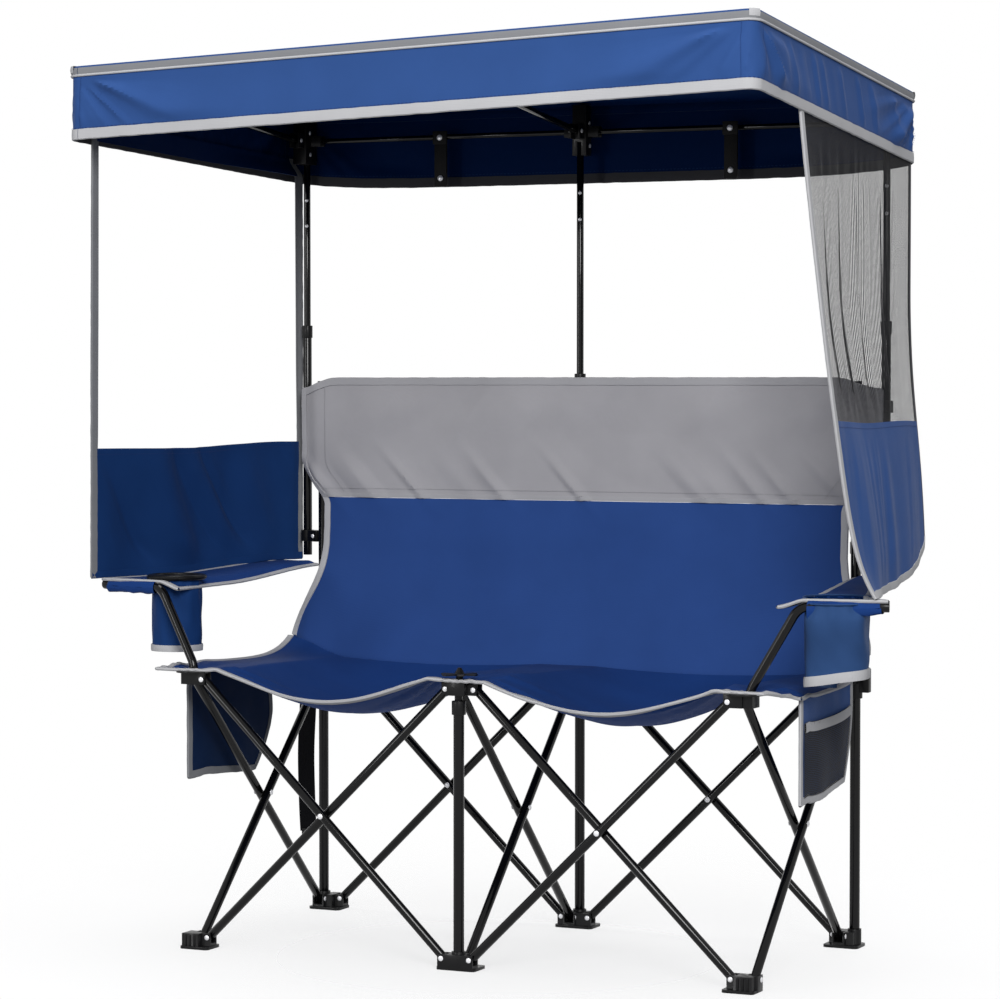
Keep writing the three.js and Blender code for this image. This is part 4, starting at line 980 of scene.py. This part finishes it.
def canopyPoint(u, v):
    edge, angle = canopyEdge(u)
    outward = Vector((math.cos(angle), math.sin(angle), 0))
    if v < 0.5:
        reach = v / 0.5
        place = Vector((edge.x * reach, edge.y * reach, 0))
        between = abs(math.sin(math.pi * place.x / chair["postX"]))
        sag = 0.010 * between * (1 - reach ** 4) * (1 - smooth(0.85, 1, reach))
        place.z = canopyTop(place.x, place.y) - sag + 0.004 * (1 - reach)
        return place
    fall = (v - 0.5) / 0.5
    far = canopy["half"] - abs(edge.x)
    if abs(outward.x) > abs(outward.y):
        far = min(edge.y - canopy["front"], canopy["rear"] - edge.y)
    deep = canopy["valance"] * fall
    held = smooth(0.14, 0.34, fall) * (1 - smooth(0.70, 0.95, fall))
    reach, slant = math.hypot(far, deep), math.atan2(deep, max(far, 1e-4))
    corner = 3.7 * (edge.x > 0) + 1.9 * (edge.y > 0) + 0.7 * (abs(outward.x) > 0.7)
    spokes = 0.0062 * (1 - smooth(0.12, 0.34, reach)) * fold(0.30 * slant, corner, 0.5, 0.075)
    middle = 0.40 if abs(outward.y) > 0.7 else 0.75
    broad = 0.0090 * hump(slant, middle, 0.15) * (1 - smooth(0.20, 0.42, reach))
    pulled = smooth(0.02, 0.08, reach) * smooth(0.004, 0.030, far)
    wave = 0.0030 * max(0.0, ripple(edge.x, edge.y, 0.3, 0.30)) * fall
    flank = smooth(0.9, 1.0, abs(outward.x))
    sidePull = 0.0042 * flank * smooth(0.02, 0.10, far)
    sidePull *= fold(edge.y - 0.45 * deep, 0.37, 5.2 + outward.x, 0.06)
    rearHang = canopy["rearDrop"] * max(0.0, outward.y) * (1 - (edge.x / canopy["half"]) ** 6)
    place = Vector((edge.x, edge.y, canopyTop(edge.x, edge.y) - (canopy["valance"] + rearHang) * fall))
    return place + outward * (held * (pulled * (spokes + broad) + sidePull) + wave - 0.0012)


bm = bmesh.new()
surface(bm, 840, 10, lambda u, v: canopyPoint(u, v * 0.5))
surface(bm, 840, 26, lambda u, v: canopyPoint(u, mix(0.5, 1.0, v)))
weldAll(bm)
bmesh.ops.recalc_face_normals(bm, faces=bm.faces[:])
thicken(bm, bm.faces[:], clothThick["light"], 3)
# The hem binding's inner half takes the near-black binding copy, painting the shade under the canopy.
tape(bm, canopyPoint, lambda u: (u, 1.0), (0, -1), 840, 0.016, 0.0022, 1, 0.0006, innerHalf=5)
band(bm, canopyPoint, lambda u: (u, 0.560), (0, -1), 840, 0.012, 0.0028, 4, innerHalf=3)
stitches(bm, canopyPoint, lambda u: (u, 0.93), (0, 1), 560, 0.0020)
runs = canopyRuns()
for k in (1, 3, 5, 7):
    begin = sum(runs[:k]) / sum(runs)
    share = runs[k] / sum(runs)
    band(bm, canopyPoint, lambda u: (begin + share * mix(0.25, 0.75, u), 0.545), (0, -1), 12, 0.012, 0.0040, 1)
    for seam in (-0.15, 1.15):
        stitches(bm, canopyPoint, lambda u: (begin + share * seam, mix(0.57, 0.94, u)), (1, 0), 24, 0.0018)
pathPiping = []
for i in range(421):
    angle = canopyEdge(i / 420)[1]
    pathPiping.append(canopyPoint(i / 420, 0.566) + Vector((math.cos(angle), math.sin(angle), 0)) * 0.0024)
sweep(bm, pathPiping, 0.0022, 10, 1)
canopyPiece = piece("canopy_cloth", bm, ["blue", "tape", "thread", "navy", "midTape", "shadeBinding"], bodyOf["canopy"],
                    ["canopy"])
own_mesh(canopyPiece)
print("canopy done")


# Side curtains: a blue lower part, a window above it, grey tape at the edges

curtain = {"tuck": 0.042, "setback": {-1: 0.0745, 1: 0.215}, "rear": 0.3985, "lead": {-1: 0.029, 1: 0.014},
           "hem": {-1: -0.006, 1: 0.022}, "hemRear": 0.010, "hemRise": {-1: 0.0, 1: 0.075}, "hemRound": 0.45,
           "low": 0.0042, "gap": 0.0043, "free": 0.05, "bow": 0.30, "folds": {-1: 5, 1: 11},
           "foldDepth": {-1: 0.005, 1: 0.002}, "windowLow": {-1: 0.708, 1: 0.65}, "windowTop": 0.045,
           "windowEdge": 0.025, "flare": 0.046, "rearIn": {-1: 0.020, 1: 0.0}}


def curtainTop(y):
    inside = canopy["corner"] - curtain["gap"]
    past = max(0.0, y - (canopy["rear"] - canopy["corner"]))
    bend = math.sqrt(inside ** 2 - past ** 2) - 0.0006 * smooth(0, 0.012, past)
    return canopy["half"] - canopy["corner"] + bend


def curtainPoint(side):
    def place(s, t):
        front = canopy["front"] + curtain["setback"][side]
        hem = mix(curtain["hem"][side], curtain["hemRear"], s)
        past = clamp((s - curtain["hemRound"]) / (1 - curtain["hemRound"]))
        fall = t * (1 - curtain["hemRise"][side] * (1 - math.sqrt(1 - past ** 2)) * smooth(0.70, 1, t))
        drop = max(0.0, fall - curtain["free"]) / (1 - curtain["free"])
        yLow = mix(arm["endY"] - curtain["lead"][side], curtain["rear"], s)
        y = mix(mix(front, curtain["rear"], s), yLow, drop if side < 0 else drop ** 1.5)
        top = curtainTop(y) - curtain["rearIn"][side] * smooth(0.5, 1, s) * smooth(0.0, 0.05, fall)
        zTop = canopyTop(side * top, y) - canopy["valance"] + curtain["tuck"]
        wave = math.sin(curtain["folds"][side] * math.pi * (s + 0.06 * side * fall))
        wave *= arch(s) * smooth(0.55, 0.95, fall)
        free = drop if side < 0 else mix(drop, drop ** 14, curtain["bow"])
        lean = mix(free, smooth(0.35, 1, fall), smooth(0, 0.3, s))
        x = mix(top, armOuter(yLow) - hem, lean) + curtain["foldDepth"][side] * wave
        x += 0.005 * ripple(0.3 * fall, s * 9.0, 2.0 + side, 0.9) * smooth(0.5, 0.8, fall)
        slung = smooth(0.66, 0.76, fall) * (1 - smooth(0.92, 1, fall)) * arch(s)
        slope, size = (-0.55, 0.095) if side < 0 else (0.16, 0.050)
        x += (0.0065 - 0.0030 * side) * slung * fold(0.55 * s + slope * fall, 0.03 * fall, 8.3 + side, size)
        if side < 0:
            x += 0.0260 * slung * ripple(0.55 * s - 0.40 * fall, 0.1, 3.3, 0.10)
        else:
            gather = smooth(0.06, 0.2, fall) * (1 - smooth(0.55, 0.66, fall)) * arch(s)
            x += 0.0150 * gather * ripple(s, 0.05 * fall, 6.4, 0.050)
            x += curtain["flare"] * smooth(0.35, 1, fall) * smooth(0.25, 1, s)
        return Vector((side * x, y, mix(zTop, armHeight(y) + curtain["low"], fall)))
    return place


for label, side in sides:
    place = curtainPoint(side)
    low = curtain["windowLow"][side]
    edgeShare, high = curtain["windowEdge"], curtain["windowTop"]
    bm = bmesh.new()
    surface(bm, 120, 60, lambda u, v: place(u, mix(low, 1.0, v)))
    surface(bm, 120, 6, lambda u, v: place(u, mix(0.0, high, v)), 3)
    surface(bm, 3, 60, lambda u, v: place(mix(0, edgeShare, u), mix(high, low, v)), 1)
    surface(bm, 3, 60, lambda u, v: place(mix(1 - edgeShare, 1, u), mix(high, low, v)), 4)
    weldAll(bm)
    thicken(bm, bm.faces[:], clothThick["light"])
    tape(bm, place, lambda u: (0.0, u), (1, 0), 160, 0.012, 0.0024, 1, 0.0008)
    tape(bm, place, lambda u: (1.0, u), (-1, 0), 160, 0.012 if side < 0 else 0.004, 0.0020, 4, 0.0008)
    tape(bm, place, lambda u: (u, 1.0), (0, -1), 120, 0.012, 0.0024, 0 if side < 0 else 1, 0.0010)
    band(bm, place, lambda u: (u, low), (0, 1), 120, 0.007, 0.0012, 0)
    stitches(bm, place, lambda u: (u, low + 0.012), (0, 1), 120)
    node = label + "_side_curtain"
    # The left curtain's darker cloth and binding copies paint its shade; the right curtain's near-black rear
    # binding paints the shade at its back edge.
    outside, bound, rear = ("paintedShadeBlue", "midTape", "midTape") if side < 0 else ("blue", "tape", "shadeBinding")
    curtainPiece = piece(node + "_cloth", bm, [outside, bound, "thread", "navy", rear], None, [node])
    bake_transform(curtainPiece)
    if side > 0:
        bm = bmesh.new()
        window = low - high
        netting(bm, lambda s, t: place(s, high + window * t), (150, 260),
                (0.44 / 150, 0.25 / 260 / window), (24, 60), edgeShare)
        netPiece = piece("right_window_net", bm, ["net"], None, (), "black_webbing", weld=1e-9)
        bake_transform(netPiece)
print("curtains done")


# Pockets under the seat's sides, the strap on the left slider

pocket = {"in": 0.007, "bulge": 0.004, "drop": 0.003, "tall": {-1: 0.206, 1: 0.180},
          "front": {-1: -0.0825, 1: -0.068}, "top": {-1: 0.257, 1: 0.298}, "foot": {-1: 0.237, 1: 0.252},
          "belly": {-1: 0.053, 1: 0.016}, "rise": {-1: -0.02, 1: 0.06}}
for label, side in sides:
    def place(s, t, side=side):
        long = mix(pocket["top"][side], pocket["foot"][side], t) + pocket["belly"][side] * arch(t)
        y = pocket["front"][side] + long * s
        bulge = pocket["bulge"] * arch(t) * arch(s)
        soft = 0.004 * ripple(1.0, y, t * 0.18, 0.08) * arch(s)
        edge = (1 + side) / 2
        begin, end = seatPoint(edge, 0).y, seatPoint(edge, 1).y
        hung = seatPoint(edge, clamp((y - begin) / (end - begin)))
        tall = pocket["tall"][side] * (1 - pocket["rise"][side] * smooth(0.45, 1, s))
        return Vector((hung.x - side * (pocket["in"] + bulge + soft), y, hung.z - pocket["drop"] - tall * t))

    bm = bmesh.new()
    surface(bm, 60, 40, place)
    thicken(bm, bm.faces[:], clothThick["light"])
    sideTapes(bm, place, 60, 0.011, 0.0024, 0.0010)
    tape(bm, place, lambda u: (u, 1.0), (0, -1), 60, 0.012, 0.0024, 1, 0.0010)
    node = label + "_pocket"
    # The left pocket's darkest cloth and darker binding copies paint its shade.
    cloths = ["shadeBlue", "midTape"] if side < 0 else ["blue", "tape"]
    pocketPiece = piece(node + "_cloth", bm, cloths, bodyOf[node], [node])
    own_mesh(pocketPiece)
    if side > 0:
        def netPoint(s, t):
            out = 0.004 + 0.010 * arch(s) * math.sin(math.pi * clamp(t * 0.9 + 0.1))
            return place(mix(0.03, 0.97, s), mix(0.235, 0.935, t)) + Vector((out, 0, 0))

        bm = bmesh.new()
        band(bm, netPoint, lambda u: (mix(0.03, 0.97, u), 0.0), (0, 1), 60, 0.016, 0.0014, 1)
        wide, tall, pitch, thread = 0.34, 0.12, 0.0030, 0.0014
        counts = (int(wide / pitch), int(tall / pitch))
        netting(bm, netPoint, counts, (thread / wide, thread / tall), (18, 26), 0.02)
        netPiece = piece("right_pocket_net", bm, ["net", "tape"], bodyOf[node], (), "black_webbing", weld=1e-9)
        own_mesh(netPiece)

strap = {"inner": -0.5695, "y": 0.3665, "top": 0.506, "long": 0.360, "wide": 0.036}


def strapPoint(s, t):
    x = strap["inner"] - strap["wide"] * s + 0.004 * math.sin(2.2 * math.pi * t) * t
    y = strap["y"] + 0.003 * math.sin(math.pi * t) * math.sin(3 * math.pi * t)
    return Vector((x, y, strap["top"] - strap["long"] * t))


bm = bmesh.new()
surface(bm, 8, 60, strapPoint)
thicken(bm, bm.faces[:], clothThick["stiff"])
root = Vector((strap["inner"] - 0.002, strap["y"] - 0.001, 0.494))
block(bm, root, root + Vector((0.010, 0.002, 0.012)), 0.0004)
buckle = strapPoint(0.6, 1.0)
block(bm, buckle + Vector((-0.010, -0.004, -0.012)), buckle + Vector((0.010, 0.004, 0.006)), 0.002, 1)
node = "storage_strap"
strapPiece = piece(node + "_webbing", bm, ["webbing", "plastic"], bodyOf[node], [node], "black_webbing")
print("pockets done")

low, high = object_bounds()
